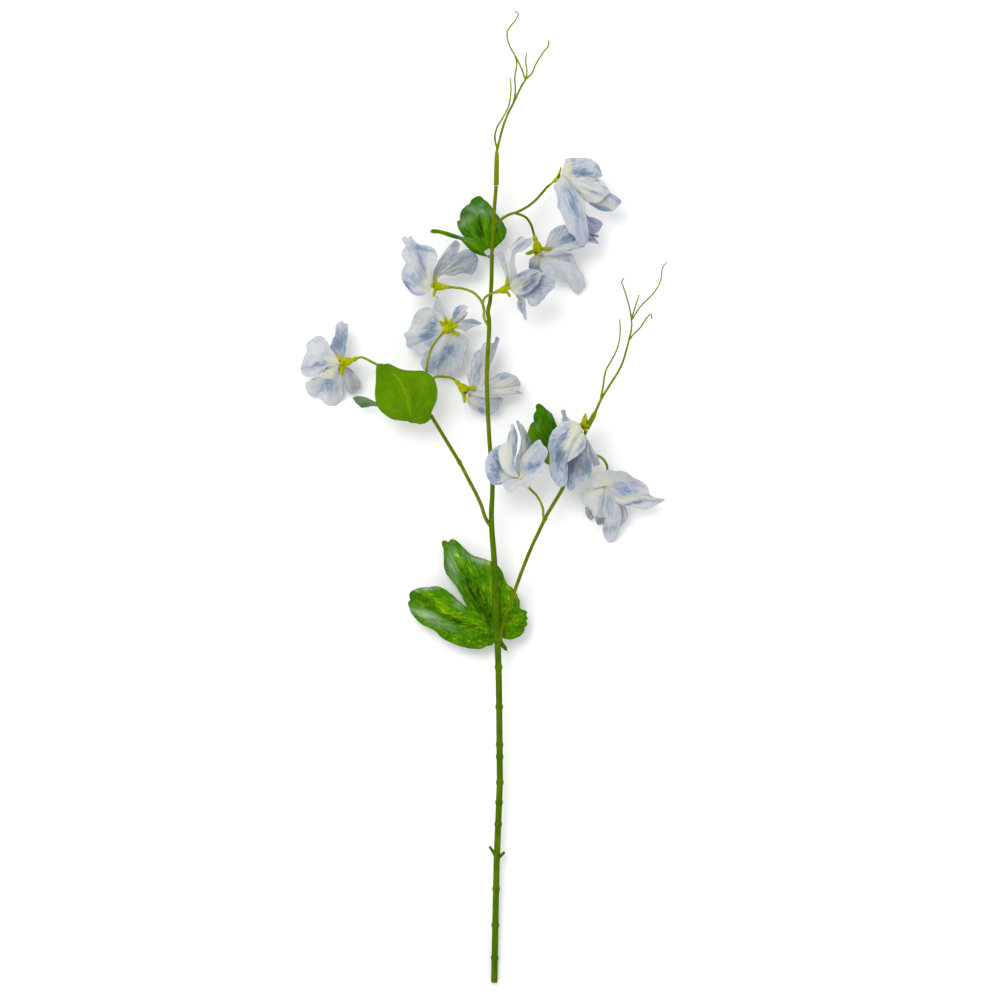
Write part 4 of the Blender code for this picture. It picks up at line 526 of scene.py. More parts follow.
                   (CREAM, 0, 29, 14, 0.8, -8, 0.4)],
                  [(-6, 3, -9, 24, 1.6, -1.5), (-3, 8, -2, 22, 1.3, 1.0), (-14, 8, -20, 30, 1.4, 0.9),
                   (-6, 1, -18, 3, 2.2, 0.8), (-19, 33, -15, 29, 0.8, -0.9)]),
        ]),
        wings=(-1, [
            Petal([(0.5, 5, -2), (1.5, 12, -4), (5, 19, -5)],
                  [(10.5, 24.5, -6), (14, 29.5, -7), (16.3, 34.3, -8), (18.5, 34.6, -8), (20.8, 31.5, -8),
                   (19.5, 27.5, -8), (18, 24.5, -8), (23, 27.3, -9), (28, 28.7, -9), (32, 25.5, -9),
                   (34.6, 20, -9), (33, 13.5, -9), (30, 8.8, -8.5)],
                  [(2.5, 5, -2), (8, 9, -4), (15, 8, -6), (23, 10.3, -8)], 0.3, 0.6,
                  [(BLUE, 14, 17, 22, 1.2, 24, 0.7), (BLUE, 20, 15, 16, 1.0, 10, 0.7),
                   (BLUE, 27, 18, 12, 5, 20, 0.45), (LILAC, 17, 30, 9, 2.4, 75, 0.6),
                   (BLUE, 17, 16, 34, 15, 15, 0.75), (CREAM, 14, 14, 34, 14, 15, 0.5),
                   (BLUE, 10, 22, 8, 1.2, 40, 0.4), (SLATE_AND_SHADE, 26, 24, 14, 5, 10, 0.25),
                   (SLATE_AND_SHADE, 3, 9, 8, 3, 40, 0.35)],
                  [(4, 9, 18, 23, 0.9, -1.6), (5, 9, 27, 26, 0.8, 1.5), (6, 9, 30, 23.5, 0.8, -1.3),
                   (6, 9, 33, 20, 0.8, 1.4), (7, 9, 32, 16, 0.8, -1.4), (7, 8.5, 30, 12.5, 0.8, 1.2)]),
        ]),
        keel=None),
    "blossom_05": Blossom(
        (-33, 493.5, 24), (0.34, 0.34, -0.87), 8, 3,
        sepals=((13, 7.5, 3.2, 0.5), (67, 6, 3.8, 0.5), (112, 6, 3.4, 0.5), (150, 6.5, 3, 0.5),
                (187, 6, 3.2, 0.5)), girth=1.25,
        banner=(1, [
            Petal([(-3, 5, -3), (-6, 10, -4.5)],
                  [(-11, 13.5, -5), (-16, 15.2, -6), (-22, 13.8, -7), (-27, 9, -8), (-29.6, 2, -9),
                   (-31.5, -2.5, -9.5), (-34.5, -5, -10), (-33.2, -10, -10.5), (-32.6, -14.8, -11),
                   (-27, -17, -11), (-21.4, -20.5, -10)], [(-4, -5, -4), (-11, -11, -7), (-17, -17, -9)],
                  0.08, 1.6,
                  [(BLUE, -13, 1, 18, 7, 66, 0.6), (BLUE, -15.5, -4.5, 9, 6, 20, 0.85),
                   (SLATE_AND_SHADE, -15.5, -4.5, 9, 4, 20, 0.4), (BLUE, -19, -8, 14, 7, -30, 0.4),
                   (SLATE_AND_SHADE, -12, 4, 12, 4, 70, 0.3), (CREAM, -20, 8, 16, 8, 40, 0.25),
                   (SLATE_AND_SHADE, -20, 6, 20, 12, 60, 0.14), (CREAM, -26, -3, 12, 6, 60, 0.2),
                   (LILAC, -15, -14, 12, 3, -50, 0.6), (LILAC, -28, -13, 9, 2.5, 20, 0.35),
                   (CREAM, -4, 6, 8, 3, 60, 0.5)],
                  [(-6, -2, -28, -8, 1.4, 0.8), (-8, 3, -26, 4, 1.6, -0.7),
                   (-10, -8, -30, -14, 1.2, -0.7)]),
            Petal([(-5, -6, -4), (-12, -14, -9), (-19, -21, -12)],
                  [(-22.4, -26.5, -13), (-20.5, -31, -14.5), (-15, -34.5, -15), (-8, -35.6, -15),
                   (-1, -35, -14.5), (4.5, -33.5, -13.5), (9, -28.5, -12), (10.8, -22, -10),
                   (13.4, -15, -8), (13.6, -9.5, -6), (10.5, -5.8, -4)], [(2, -2.5, -2), (6, -3.5, -3)],
                  0.15, 1.8,
                  [(BLUE, -3, -20, 22, 7, 48, 0.6), (BLUE, -8, -25, 10, 5, 40, 0.45),
                   (BLUE, 0, -16, 10, 5, 60, 0.35), (LILAC, -17, -29, 14, 6, 60, 0.6),
                   (LILAC, -13, -24, 14, 2, 60, 0.5), (CREAM, 2, -9, 16, 6, -20, 0.4)],
                  [(-2, -5, -14, -32, 1.6, 0.8), (0, -6, -3, -34, 1.4, -0.8), (2, -6, 8, -26, 1.4, 0.7)]),
        ]),
        wings=(0, [
            Petal([(-5, 7, -7), (-8.5, 11, -10)],
                  [(-13, 14.5, -12), (-11.7, 19, -12), (-10, 23.7, -11), (-8.2, 20, -10.5),
                   (-7.6, 15, -10)], [(-2, 5, -4), (-5.5, 10, -8)], 0.05, 0.4,
                  [(CREAM, -9, 16, 12, 3, 80, 0.4)], [(-8, 12, -10, 21, 0.8, 0.5)]),
            Petal([(1, 4, 0), (2, 9, 0)],
                  [(3.5, 13.5, -1), (6.5, 15.8, 0), (9.5, 16.4, 0.5), (13.2, 15, 1), (11.3, 12.3, 1),
                   (12.9, 10.6, 1), (10.5, 8.3, 0.5)], [(3.5, 3, 0), (7, 6, 0)], 0.35, 0.6,
                  [(BLUE, 4, 9.5, 9, 2.2, 65, 1.0), (SLATE_AND_SHADE, 4, 9, 7, 1.4, 65, 0.5),
                   (CREAM, 8, 8.5, 8, 1.8, 40, 0.8)], [(3, 5, 9, 14, 1, -0.9)]),
            Petal([(4, 2, -1), (8, 4, -1.5)],
                  [(12, 5.8, -2), (17, 6, -3), (20.5, 4.3, -3.5), (23.4, 2.8, -4), (19, 1.2, -4.5),
                   (16, -0.5, -5), (11.8, -3.8, -5)], [(3.5, -1, -1), (7.5, -1.5, -3)], 0.2, 0.4,
                  [(BLUE, 14, 3.6, 12, 1.5, 5, 0.9), (LILAC, 19, 3.8, 8, 1.5, -20, 0.7),
                   (CREAM, 9, 1.5, 9, 2, 10, 0.6)], [(6, 1, 20, 3, 0.9, -0.9)]),
        ]),
        keel=(-1, [
            Petal([(3, 5, -2)], [(7, 10, -4), (10.5, 11.3, -4), (13.1, 10.7, -4), (10, 5.5, -4)],
                  [(5, 2.5, -2)], 0.0, 0.2, [(CREAM, 9, 8, 9, 4, 45, 1.0)], []),
        ])),
    "blossom_06": Blossom(
        (-115.5, 465.8, 18), (-0.95, -0.32, 0), 9, 3,
        sepals=((5, 5.6, 3.2, 4), (175, 6, 3.2, 3.6), (90, 3.6, 3.4, 2.5), (130, 4, 2.4, 2.5),
                (270, 4, 2, 1)), girth=1.15,
        banner=(-1, [
            Petal([(-3, 6, -1), (-6.5, 10, -2)],
                  [(-8, 13.5, -3), (-5.5, 19, -4), (-2.8, 24.5, -4), (-3.2, 29.5, -4), (-0.5, 31.7, -4),
                   (1.3, 32.3, -4), (2, 30.3, -4.5), (4.5, 30.7, -5), (6, 28.5, -5), (4.8, 22, -5),
                   (3.3, 15, -4)], [(3, 5, 0), (3, 10, -2)], 0.4, 0.9,
                  [(BLUE, -2, 16, 15, 7, 60, 1.0), (SLATE_AND_SHADE, -2, 15, 11, 5, 60, 0.4),
                   (LILAC, -1, 18, 16, 5, 70, 0.3), (CREAM, 1, 27, 12, 6, 80, 0.3),
                   (BLUE, 1.5, 22, 14, 1.6, 80, 0.5), (BLUE, 3, 10, 9, 1.5, 90, 0.5)],
                  [(1, 8, 2.5, 29, 0.9, -1.0), (-5, 12, -1, 27, 1, 0.6)]),
            Petal([(-6, -6, -2), (-14, -9, -5)],
                  [(-21, -11, -8), (-26, -14, -9), (-26.6, -18, -11), (-24, -22.5, -14),
                   (-20.5, -24, -15), (-17, -24.3, -16), (-12.8, -28.3, -17), (-8.5, -30.4, -17.5),
                   (-3.5, -30.4, -17.5), (0.3, -27.5, -16), (1.8, -21.5, -13)],
                  [(0, -5, -2), (2.2, -12, -7)], 0.03, 1.4,
                  [(BLUE, -6, -16, 13, 9, 20, 0.6), (BLUE, -12, -15, 9, 4, 60, 0.4),
                   (LILAC, -20, -17, 9, 5, 40, 0.3), (LILAC, -8, -20, 10, 1.5, 70, 0.6)],
                  [(-9, -9, -18, -24, 1, -1.2), (-5, -9, -10, -29, 1, 0.9), (-1, -9, -2, -29, 1, -0.9)]),
            Petal([(1, -6, -3), (1.6, -11, -6)],
                  [(3, -16, -10), (5.5, -20.5, -13), (9, -22, -13.5), (12.5, -20, -13),
                   (14.6, -16.5, -12), (14.7, -12.7, -11), (10.3, -10, -9), (9.5, -6, -7)],
                  [(3, -2, -2), (7, -2.8, -5)], 0.12, 0.6,
                  [(LILAC, 6, -6, 10, 4, -70, 0.7), (SLATE_AND_SHADE, 9, -17, 12, 7, -50, 0.4),
                   (CREAM, 9, -12, 10, 4, -50, 0.3)],
                  [(4, -6, 9, -20, 1, 0.7), (6, -5, 13, -15, 0.9, -0.6)]),
        ]),
        wings=(1, [
            Petal([(-2, 4, 1), (-6.5, 10, 2)],
                  [(-9.5, 16, 3), (-12.5, 20, 3.5), (-16.5, 21, 4), (-21.5, 18.3, 3.5), (-25.8, 14.5, 3),
                   (-25.4, 9.5, 1.5), (-27.5, 4, 0.5), (-29.6, -3, -0.5), (-28.5, -7, -1),
                   (-25.5, -9.5, -1), (-19, -8.6, -0.5)], [(-3, -0.6, 0.5), (-9, -2, 0.5), (-14, -5, 0.5)],
                  0.02, 1.5,
                  [(BLUE, -18, -0.5, 16, 2, 12, 0.8), (LILAC, -19, -2, 16, 4, 10, 0.6),
                   (BLUE, -13, 7, 10, 5, 30, 0.4), (CREAM, -5, 2, 9, 4, 20, 0.8),
                   (BLUE, -13, 1, 6, 2, 20, 0.5)],
                  [(-6, 0, -26, -3, 1.6, -1.4), (-5, 5, -20, 16, 1.6, 0.7), (-6, 2, -25, 7, 1.4, 0.6)]),
        ]),
        keel=(0, [
            Petal([(-5, -0.8, 0.5), (-9.5, -2, 0.5), (-13.6, -4.6, 0)],
                  [(-16.4, -7, -0.5), (-15, -9.6, -1), (-10, -10.8, -1), (-5, -10.6, -1), (-2.4, -9, -1)],
                  [(-1, -4, 0)], 0.0, 0.8,
                  [(CREAM, -8, -7, 18, 6, 0, 1.0), (SLATE_AND_SHADE, -8, -7, 14, 4, 0, 0.14),
                   # The thin slate line along the fold is painted crease shade.
                   (SLATE_AND_SHADE, -2, -6, 6, 5, 60, 0.3), (SLATE_AND_SHADE, -9.5, -3.6, 8, 1, 25, 1.0),
                   (BLUE, -11, -4.4, 8, 1.4, 25, 0.8)], [(-4, -2, -12, -5, 0.9, -0.8)]),
        ])),
    "blossom_07": Blossom(
        (-19.5, 444, 16), (0.68, -0.67, 0.3), 8.5, 3,
        sepals=((18, 5.3, 2.8, 6.6), (155, 5, 3.4, 4.6), (95, 4, 3.4, 2), (250, 4, 2, 1), (310, 4, 2, 1)),
        girth=1.2,
        banner=(1, [
            Petal([(0.5, 5, 0.5), (-0.3, 10, 1)],
                  [(-1.3, 13.3, 2), (1.8, 18, 2), (2.7, 25.5, 2), (5.5, 30.5, 2), (9.5, 33.5, 2),
                   (11, 37, 1.5), (14, 38.5, 1), (17, 37.5, 0.5), (20, 38.6, 0), (21, 42.8, 0),
                   (23.6, 40.3, 0), (19.5, 36.5, 0.5), (17.3, 31, 1), (16.6, 22, 1.5)],
                  [(4, 1.6, 0.5), (10, 6, 1.5), (15, 13, 2)], 0.2, 0.8,
                  [(BLUE, 8.7, 15, 18, 1.6, 86, 1.0), (BLUE, 4, 12, 18, 4, 86, 0.25),
                   (BLUE, 6, 24, 14, 4, 80, 0.2), (LILAC, 6, 31, 14, 2, 60, 0.5),
                   (CREAM, 11.5, 20, 36, 2.4, 84, 0.9), (LILAC, 12.5, 24, 28, 2, 86, 0.3),
                   (LILAC, 21, 40.5, 5, 3, 60, 0.8), (CREAM, 8, 5, 8, 2, 50, 0.8)],
                  [(6, 4, 10.8, 33, 1.1, 1.3), (5, 6, 8.4, 26, 1.4, -1.0), (12, 9, 15, 34, 1.2, -0.6)]),
        ]),
        wings=(-1, [
            Petal([(7, 4, 0), (12, 8, -1)],
                  [(17.5, 11.8, -2), (22, 14.3, -2), (28, 15.8, -3), (34.5, 13.7, -4), (38.8, 9.3, -5),
                   (39.6, 6, -5), (38, 3.9, -5), (33, 2.6, -5)],
                  [(8, -2, -0.5), (20, -3.6, -3), (30, 0.6, -5)], 0.03, 2.4,
                  [(BLUE, 28, 12, 18, 5, -8, 0.6), (CREAM, 25, 4, 20, 8, 0, 0.7),
                   (BLUE, 36, 8, 7, 2, -60, 0.4), (CREAM, 34, 4.5, 9, 1, 10, 0.5)],
                  [(18, 9, 35, 8, 2, 0.8), (26, 4, 38, 5.5, 0.9, -0.8)]),
            Petal([(-0.5, -3, -2)],
                  [(0, -7, -3), (1.5, -10.5, -5), (6, -13.3, -6), (11, -16, -8), (16.5, -16.4, -9),
                   (20.5, -14.3, -8.5), (22.8, -10.5, -8), (25.6, -7.3, -7), (26.2, -3.5, -7)],
                  [(8, -1, -1), (18, -1.5, -4)], 0.1, 1.2,
                  [(BLUE, 9, -11.8, 9, 2.6, -35, 1.0), (LILAC, 8, -12, 6, 2.4, -30, 0.6),
                   (BLUE, 18, -8, 12, 6, 10, 0.4), (SLATE_AND_SHADE, 8, -2, 9, 4, 20, 0.12),
                   (CREAM, 4, -6, 9, 3, -50, 0.8), (LILAC, 11, -9, 12, 1, -40, 0.4),
                   (BLUE, 8, -3.5, 8, 1.6, -15, 0.5)],
                  [(3, -3, 12, -14, 1, -0.8), (6, -3, 21, -11, 1, 0.7)]),
        ]),
        keel=(0, [
            Petal([(8, 2, 1), (20, 3.5, 1)],
                  [(30, 2.6, 0.5), (36, 2.3, 0.5), (42, -0.6, 0), (38, 0.2, 0), (32, -0.3, 0),
                   (26, -2.3, 0)], [(6, -2, 0), (14, -3.5, 0)], 0.05, 1.0,
                  [(CREAM, 18, 0, 22, 3, 0, 0.5), (LILAC, 37, 1, 9, 0.8, -15, 0.9),
                   (BLUE, 9, 1.5, 8, 2, 20, 0.5)], [(8, 0, 30, 0.5, 1.2, 0.7)]),
        ])),
    "blossom_08": Blossom(
        (19.5, 380.3, 36), (-0.45, 0.50, 0.74), 8, 3,
        sepals=((0, 3.5, 2, 1), (72, 3.5, 2, 1), (144, 3.5, 2, 1), (216, 3.5, 2, 1), (288, 3.5, 2, 1)),
        banner=(1, [
            Petal([(0, 5, 1), (-0.5, 11, 2)],
                  [(2.5, 17.5, 3.5), (8, 23.5, 5), (14, 28.5, 6), (17, 24.5, 6), (20.6, 20.3, 6),
                   (19.5, 15.5, 5.5), (17.8, 12.3, 5), (18.8, 8.3, 5), (16, 4, 4), (11.6, 1.5, 3),
                   (8.8, -2, 3), (6.3, -7.2, 2.5), (1.5, -6.3, 2), (-2.5, -7, 2), (-6.3, -11, 1.5),
                   (-10.5, -9.3, 1), (-13, -5.3, 1)], [(-4, -1, 0.5), (-9, -1.5, 1)], 0.2, 0.8,
                  [(BLUE, 8, 8, 20, 4.4, 22, 0.75), (BLUE, 1, 4, 9, 5, 20, 0.5),
                   # The slate dab at the throat is painted shade.
                   (SLATE_AND_SHADE, -2, 9, 11, 5, 60, 0.45), (CREAM, 0, 11, 14, 3, 60, 0.4),
                   (SLATE_AND_SHADE, 9, 17, 22, 12, 55, 0.2), (LILAC, 17.5, 17, 9, 3, 70, 0.55),
                   (LILAC, 13, 24, 9, 2, 60, 0.5), (CREAM, 5, 16, 14, 2, 40, 0.6),
                   (LILAC, 0, -4, 12, 2, 0, 0.35), (BLUE, -4, 1, 6, 2, 0, 0.35)],
                  [(1, 4, 17, 10, 1.5, -1.3), (1, 7, 13, 22, 1.5, 0.9), (0, 1, 14, 3, 1.2, 0.7),
                   (-3, -3, -6, -9, 1.2, -0.5)]),
        ]),
        wings=(-1, [
            Petal([(-7, 9, 0), (-12, 19, -0.5)],
                  [(-14, 24.8, -1), (-19, 22.5, -2), (-23, 18.5, -2), (-26.3, 11.5, -3), (-26, 5.5, -3.5),
                   (-24, -1, -4), (-20, -5.2, -4), (-14.5, -5.3, -3.5)], [(-5, -1, -1), (-10, -2.5, -2)],
                  0.25, 1.2,
                  [(BLUE, -17, 9, 20, 6, 84, 0.85), (SLATE_AND_SHADE, -16.5, 8, 18, 3.4, 84, 0.6),
                   (LILAC, -22, -1, 10, 4, -55, 0.8), (LILAC, -23, 13, 9, 2, 60, 0.35),
                   (CREAM, -13, -1, 7, 2.4, -30, 0.7)],
                  [(-12, 3, -17, 20, 2, -1.2), (-14, 2, -24, 4, 1.5, 0.7)]),
            Petal([(-3.6, 5, 0), (-3, 12, 0), (0.2, 15.5, 0), (2.8, 20.5, -1), (3.3, 27, -1.5)],
                  [(0.3, 35, -2), (-2.8, 42.5, -2), (1, 40, -2.5), (4.2, 35, -3), (7, 29.5, -3.3),
                   (8.2, 25, -4)], [(3, 8, -2), (6.5, 17, -3.5)], 0.5, 0.6,
                  [(CREAM, 2.2, 30, 28, 1.4, 100, 1.0), (SLATE_AND_SHADE, 5.5, 28, 18, 2.6, -68, 0.9),
                   (SLATE_AND_SHADE, 2, 24, 26, 6, 100, 0.22), (LILAC, 7, 24, 7, 2, -60, 0.5)],
                  [(3.2, 18, 0, 38, 0.7, 0.9)]),
        ]),
        keel=(0, [
            Petal([(-6, 1, 1), (-12, 5, 2), (-15.5, 12, 3)],
                  [(-16.6, 18.5, 3), (-15, 23.5, 3), (-10.5, 27.2, 3), (-8.8, 32, 2.5), (-7.6, 36, 2),
                   (-6, 40.5, 2), (-4, 37.5, 2), (-2.3, 32, 2), (-2.1, 26, 2)],
                  [(-3.6, 4, 1), (-4, 13, 2), (-2.7, 20, 2)], 0.05, 2.0,
                  [(BLUE, -3.6, 25, 28, 2.4, 86, 0.9), (SLATE_AND_SHADE, -3.4, 26, 26, 1.4, 86, 0.5),
                   (BLUE, -6.5, 33, 14, 3, 75, 0.5), (CREAM, -11, 16, 20, 6, 80, 0.8),
                   (BLUE, -5, 8, 12, 3, 70, 0.3)], [(-6, 5, -5, 36, 1.6, -1.2), (-11, 6, -12, 24, 2, 0.6)]),
        ])),
    "blossom_09": Blossom(
        (65.3, 416.3, 33), (-0.18, -0.68, 0.71), 5, 1.5,
        sepals=((0, 4, 2, 1), (90, 11.5, 3.4, 0), (144, 4, 2, 1), (216, 4, 2, 1), (288, 4, 2, 1)),
        banner=(1, [
            Petal([(-0.5, 2.5, 1)],
                  [(-1.5, 4.5, 2), (-5.5, 6.3, 3), (-11, 6.6, 3), (-15.5, 5.3, 3), (-19.5, 1.5, 2),
                   (-23, -4, 1), (-24.9, -12, -0.5), (-24.3, -19, -1.5), (-23.7, -26, -2),
                   (-23.3, -33, -3), (-20.5, -39, -4), (-17, -42.8, -4), (-12.5, -42, -3.5),
                   (-10.3, -37, -2)], [(-3, -6, 1), (-8, -14, 1.5), (-10.8, -22, 1), (-10.2, -29, 0)],
                  0.22, 2.2,
                  [(BLUE, -16.5, -20, 16, 8, -76, 1.0), (SLATE_AND_SHADE, -16.5, -19, 13, 7, -76, 0.6),
                   (BLUE, -10.5, -1.5, 12, 2.4, 65, 0.7), (BLUE, -16, -7, 9, 5, 40, 0.35),
                   (CREAM, -7, -5, 20, 2.6, 62, 1.0), (CREAM, -4, 3, 10, 4, 20, 1.0),
                   (CREAM, -12, -13, 7, 2, 70, 0.6), (BLUE, -15, -31, 12, 3, -80, 0.35),
                   (LILAC, -12, 2, 6, 2, 80, 0.4), (BLUE, -23, -14, 6, 2, 90, 0.3)],
                  [(-3, 1, -11, -14, 1.4, 1.6), (-8, 2, -15, -12, 1.8, -1.2),
                   (-12, -12, -16, -38, 2, 0.8), (-17, -8, -21, -34, 1.6, -0.8)]),
            Petal([(-8, 3, 1), (-13, 4.5, 2)],
                  [(-15, 7, 2.5), (-14.2, 11, 3), (-15.7, 13.8, 3), (-12.9, 14.7, 3), (-12.5, 11, 3)],
                  [(-5, 3, 1), (-10.5, 6.5, 2)], 0.4, 0.3,
                  [(LILAC, -12.5, 7, 8, 2, 100, 0.5), (BLUE, -14, 13, 3, 2, 0, 0.6)], []),
        ]),
        wings=(-1, [
            Petal([(-4, -8, -1), (-9, -17, -3), (-12, -27, -5)],
                  [(-12, -36, -6.5), (-10.8, -42.5, -7), (-8.5, -45.7, -7.5), (-6.3, -45, -7),
                   (-3.5, -41.5, -6), (1, -41.7, -6), (4.5, -39, -6), (7, -34.5, -5), (7.8, -28, -4),
                   (7.3, -20.5, -3)], [(3, -6, -1), (5, -13.5, -2)], 0.4, -1.2,
                  [(SLATE_AND_SHADE, -2, -26, 18, 14, 60, 0.85), (BLUE, 4, -30, 16, 5, 80, 0.8),
                   (SLATE_AND_SHADE, -8.8, -28, 13, 3.2, 80, 1.0), (SLATE_AND_SHADE, -8.8, -28, 12, 2, 80, 0.9),
                   (LILAC, -5, -30, 10, 3, 80, 0.4), (CREAM, 6, -37, 12, 2.4, 60, 0.5)],
                  [(-4, -14, -6, -40, 1.5, -1.0), (0, -15, 1, -38, 1.5, 0.9)]),
            Petal([(4.5, -8, -5), (8, -14, -7)], [(11.5, -19, -9.5), (14, -25.5, -11), (9, -27, -12)],
                  [(4, -10, -6), (7, -18, -9)], 0.2, 0.3, [(LILAC, 11, -22, 7, 3, -60, 0.4)],
                  [(5, -10, 12, -25, 0.8, 0.5)]),
        ]),
        keel=(0, [
            Petal([(-3, -5, 0.5), (-8, -13, 0.5)],
                  [(-11.3, -19, 0.5), (-11.6, -24, 0), (-6, -21.5, 0.5), (-1, -17.5, 0.5),
                   (2.5, -13.5, 0.5)], [(1.5, -3, 0.5), (3.3, -8.5, 0.5)], 0.12, 1.6,
                  [(CREAM, -6, -12, 16, 2.6, 55, 0.7), (BLUE, -1, -12, 9, 2.6, 50, 0.4),
                   (LILAC, 1.5, -9, 8, 1.5, 90, 0.6), (CREAM, 0, -3, 7, 3, 90, 0.9)],
                  [(-1, -4, -9, -20, 1.4, 0.8)]),
        ])),
    "blossom_10": Blossom(
        (84, 375, 22), (-0.07, -0.70, 0.71), 8, 3,
        sepals=((0, 3.5, 2, 1), (72, 3.5, 2, 1), (144, 3.5, 2, 1), (216, 3.5, 2, 1), (288, 3.5, 2, 1)),
        banner=(1, [
            Petal([(-4, -1.5, 0.5)],
                  [(-10.3, -2.5, 1), (-10.3, 2, 2), (-7, 6.8, 3), (-3, 9.8, 3), (1.5, 11, 3),
                   (7.5, 10.7, 2.5), (13.1, 10.5, 2), (17.6, 7.8, 1), (20.5, 5.5, 0), (26, 3, -2),
                   (31, -1.5, -4), (32.3, -6.8, -6), (37, -9.3, -8), (45, -11, -10), (37, -15.7, -10),
                   (27.8, -18.5, -9), (21.3, -15.6, -6), (12.5, -15.6, -3)],
                  [(2.4, -5, 0), (8, -12.6, -1)], 0.08, 1.6,
                  [(BLUE, 13, -4, 20, 6, -8, 0.55), (BLUE, 13, -6, 8, 3, -10, 0.6),
                   (LILAC, 11, -1, 18, 5, 5, 0.5), (SLATE_AND_SHADE, 18, 5, 14, 5, -20, 0.25),
                   # The blue and slate dabs just below the cream ridge are a painted shadow.
                   (CREAM, 16, -9.8, 28, 2.6, 12, 0.9), (BLUE, 22, -12.8, 20, 2, 12, 0.95),
                   (SLATE_AND_SHADE, 20, -13.4, 16, 1, 12, 0.5), (LILAC, 24, 0, 12, 3, -30, 0.55),
                   (LILAC, 38, -12, 12, 1.5, -12, 0.7), (SLATE_AND_SHADE, 4, 6, 24, 9, 0, 0.26),
                   (CREAM, -4, 3, 10, 8, 0, 0.3), (BLUE, 1, -5, 8, 3, -40, 0.5)],
                  [(3, -5, 30, -6.5, 1.5, 1.4), (5, -9, 32, -11, 1.5, -1.2), (3, -1, 20, 1, 1.5, -0.8),
                   (1, 2, 12, 8, 1.6, 0.6)]),
        ]),
        wings=(-1, [
            Petal([(-3, -1.4, -1), (-10, -2.4, -2)],
                  [(-15, -4, -4), (-18.8, -6.5, -6), (-19.3, -9.5, -7), (-17.5, -13.7, -9),
                   (-13.5, -16.8, -10), (-10.5, -20.5, -12), (-8.6, -23.6, -14), (-4, -24.6, -15),
                   (-0.5, -24.4, -14.5)], [(1, -6, -3), (1.5, -15, -8)], 0.02, 1.0,
                  [(CREAM, -11, -11, 18, 10, 50, 0.5), (LILAC, -18, -8, 6, 2, 80, 0.2),
                   (BLUE, -3, -9, 12, 4, -70, 0.4)], [(-4, -6, -15, -12, 1.6, 0.6)]),
            Petal([(4, -8, -4), (8, -22, -12)],
                  [(10.3, -32, -17.5), (14.3, -27.8, -15), (16.6, -22.3, -12), (15.2, -17.5, -9)],
                  [(5, -6, -3), (11, -13, -6)], 0.12, 0.8,
                  [(BLUE, 11, -22, 14, 3, 75, 0.4), (LILAC, 14, -20, 8, 2, -70, 0.4)],
                  [(7, -10, 13, -27, 1.2, -0.7)]),
            # A back petal whose slate dabs are painted shade.
            Petal([(-6, -8, -6), (-13, -14.5, -12)],
                  [(-15.8, -17.5, -15), (-14.5, -22.5, -18), (-11, -26.5, -20), (-8, -24.5, -20),
                   (-6, -29.3, -21.3), (-2.5, -29.3, -21.3), (1, -27, -21)], [(-1, -8, -6), (0, -18, -14)],
                  0.4, 0.0, [(SLATE_AND_SHADE, -13, -21, 14, 5, -50, 0.4), (SLATE_AND_SHADE, -3, -27, 9, 4, 0, 0.5)],
                  [(-5, -10, -12, -24, 1, -0.6)]),
        ]),
        keel=(0, [
            Petal([(-1, -6, -2), (-2, -16, -6), (0, -25, -11)],
                  [(-1.6, -31, -14), (-1.8, -36, -16), (0, -40.5, -19), (3.5, -43.6, -21.2),
                   (7.5, -41, -19.5), (9.5, -36, -16), (10.5, -31, -14)],
                  [(4, -5, -1), (9.5, -14, -4), (12, -23, -9)], 0.16, 1.4,
                  [(BLUE, 1, -10, 14, 7, -70, 0.5), (BLUE, 4, -33, 9, 4, 0, 0.5),
                   (SLATE_AND_SHADE, 4, -31, 9, 1.2, 0, 0.4), (BLUE, 3, -18, 14, 4, -80, 0.35),
                   (LILAC, 9, -24, 12, 1.2, -80, 0.4), (CREAM, 5, -38, 6, 4, 0, 0.3),
                   (CREAM, 6, -14, 9, 2, -60, 0.3)],
                  [(1, -8, 2, -40, 1.4, 0.9), (6, -10, 8, -38, 1.2, -0.8)]),
        ])),
}


def colour(red, green, blue):
    """A colour from its paint chart values, 0 to 255, as the shader wants it."""
    linear = [((c / 255 + 0.055) / 1.055) ** 2.4 if c > 10 else c / 255 / 12.92 for c in (red, green, blue)]
    return (*linear, 1.0)


def start_fresh():
    """Deselect everything, so that an operator acts on the new piece only."""
    bpy.ops.object.select_all(action="DESELECT")


def unit(vector):
    """The same direction, one long."""
    vector = np.array(vector, float)
    return vector / np.linalg.norm(vector)


def place(point):
    """From the drawing, in millimetres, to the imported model's frame, in metres."""
    return (np.array(point, float) + ORIGIN) * MM


# ---------------------------------------------------------------- shared shader groups


def new_group(name, inputs, outputs):
    """An empty shader group with the named sockets. Returns its tree and its two end nodes."""
    tree = bpy.data.node_groups.new(name, "ShaderNodeTree")
    for label, kind, value in inputs:
        socket = tree.interface.new_socket(name=label, in_out="INPUT", socket_type=kind)
        if value is not None:
            socket.default_value = value
    for label, kind in outputs:
        tree.interface.new_socket(name=label, in_out="OUTPUT", socket_type=kind)
    return tree, tree.nodes.new("NodeGroupInput"), tree.nodes.new("NodeGroupOutput")


def node(tree, kind, values=None, **settings):
    """A new node with its settings and the constants of its sockets."""
    made = tree.nodes.new(kind)
    for key, value in settings.items():
        setattr(made, key, value)
    for key, value in (values or {}).items():
        made.inputs[key].default_value = value
    return made


def feed(tree, source, target):
    """Join a socket to a socket, or set the target to a plain number."""
    if isinstance(source, (int, float)):
        target.default_value = source
    else:
        tree.links.new(source, target)


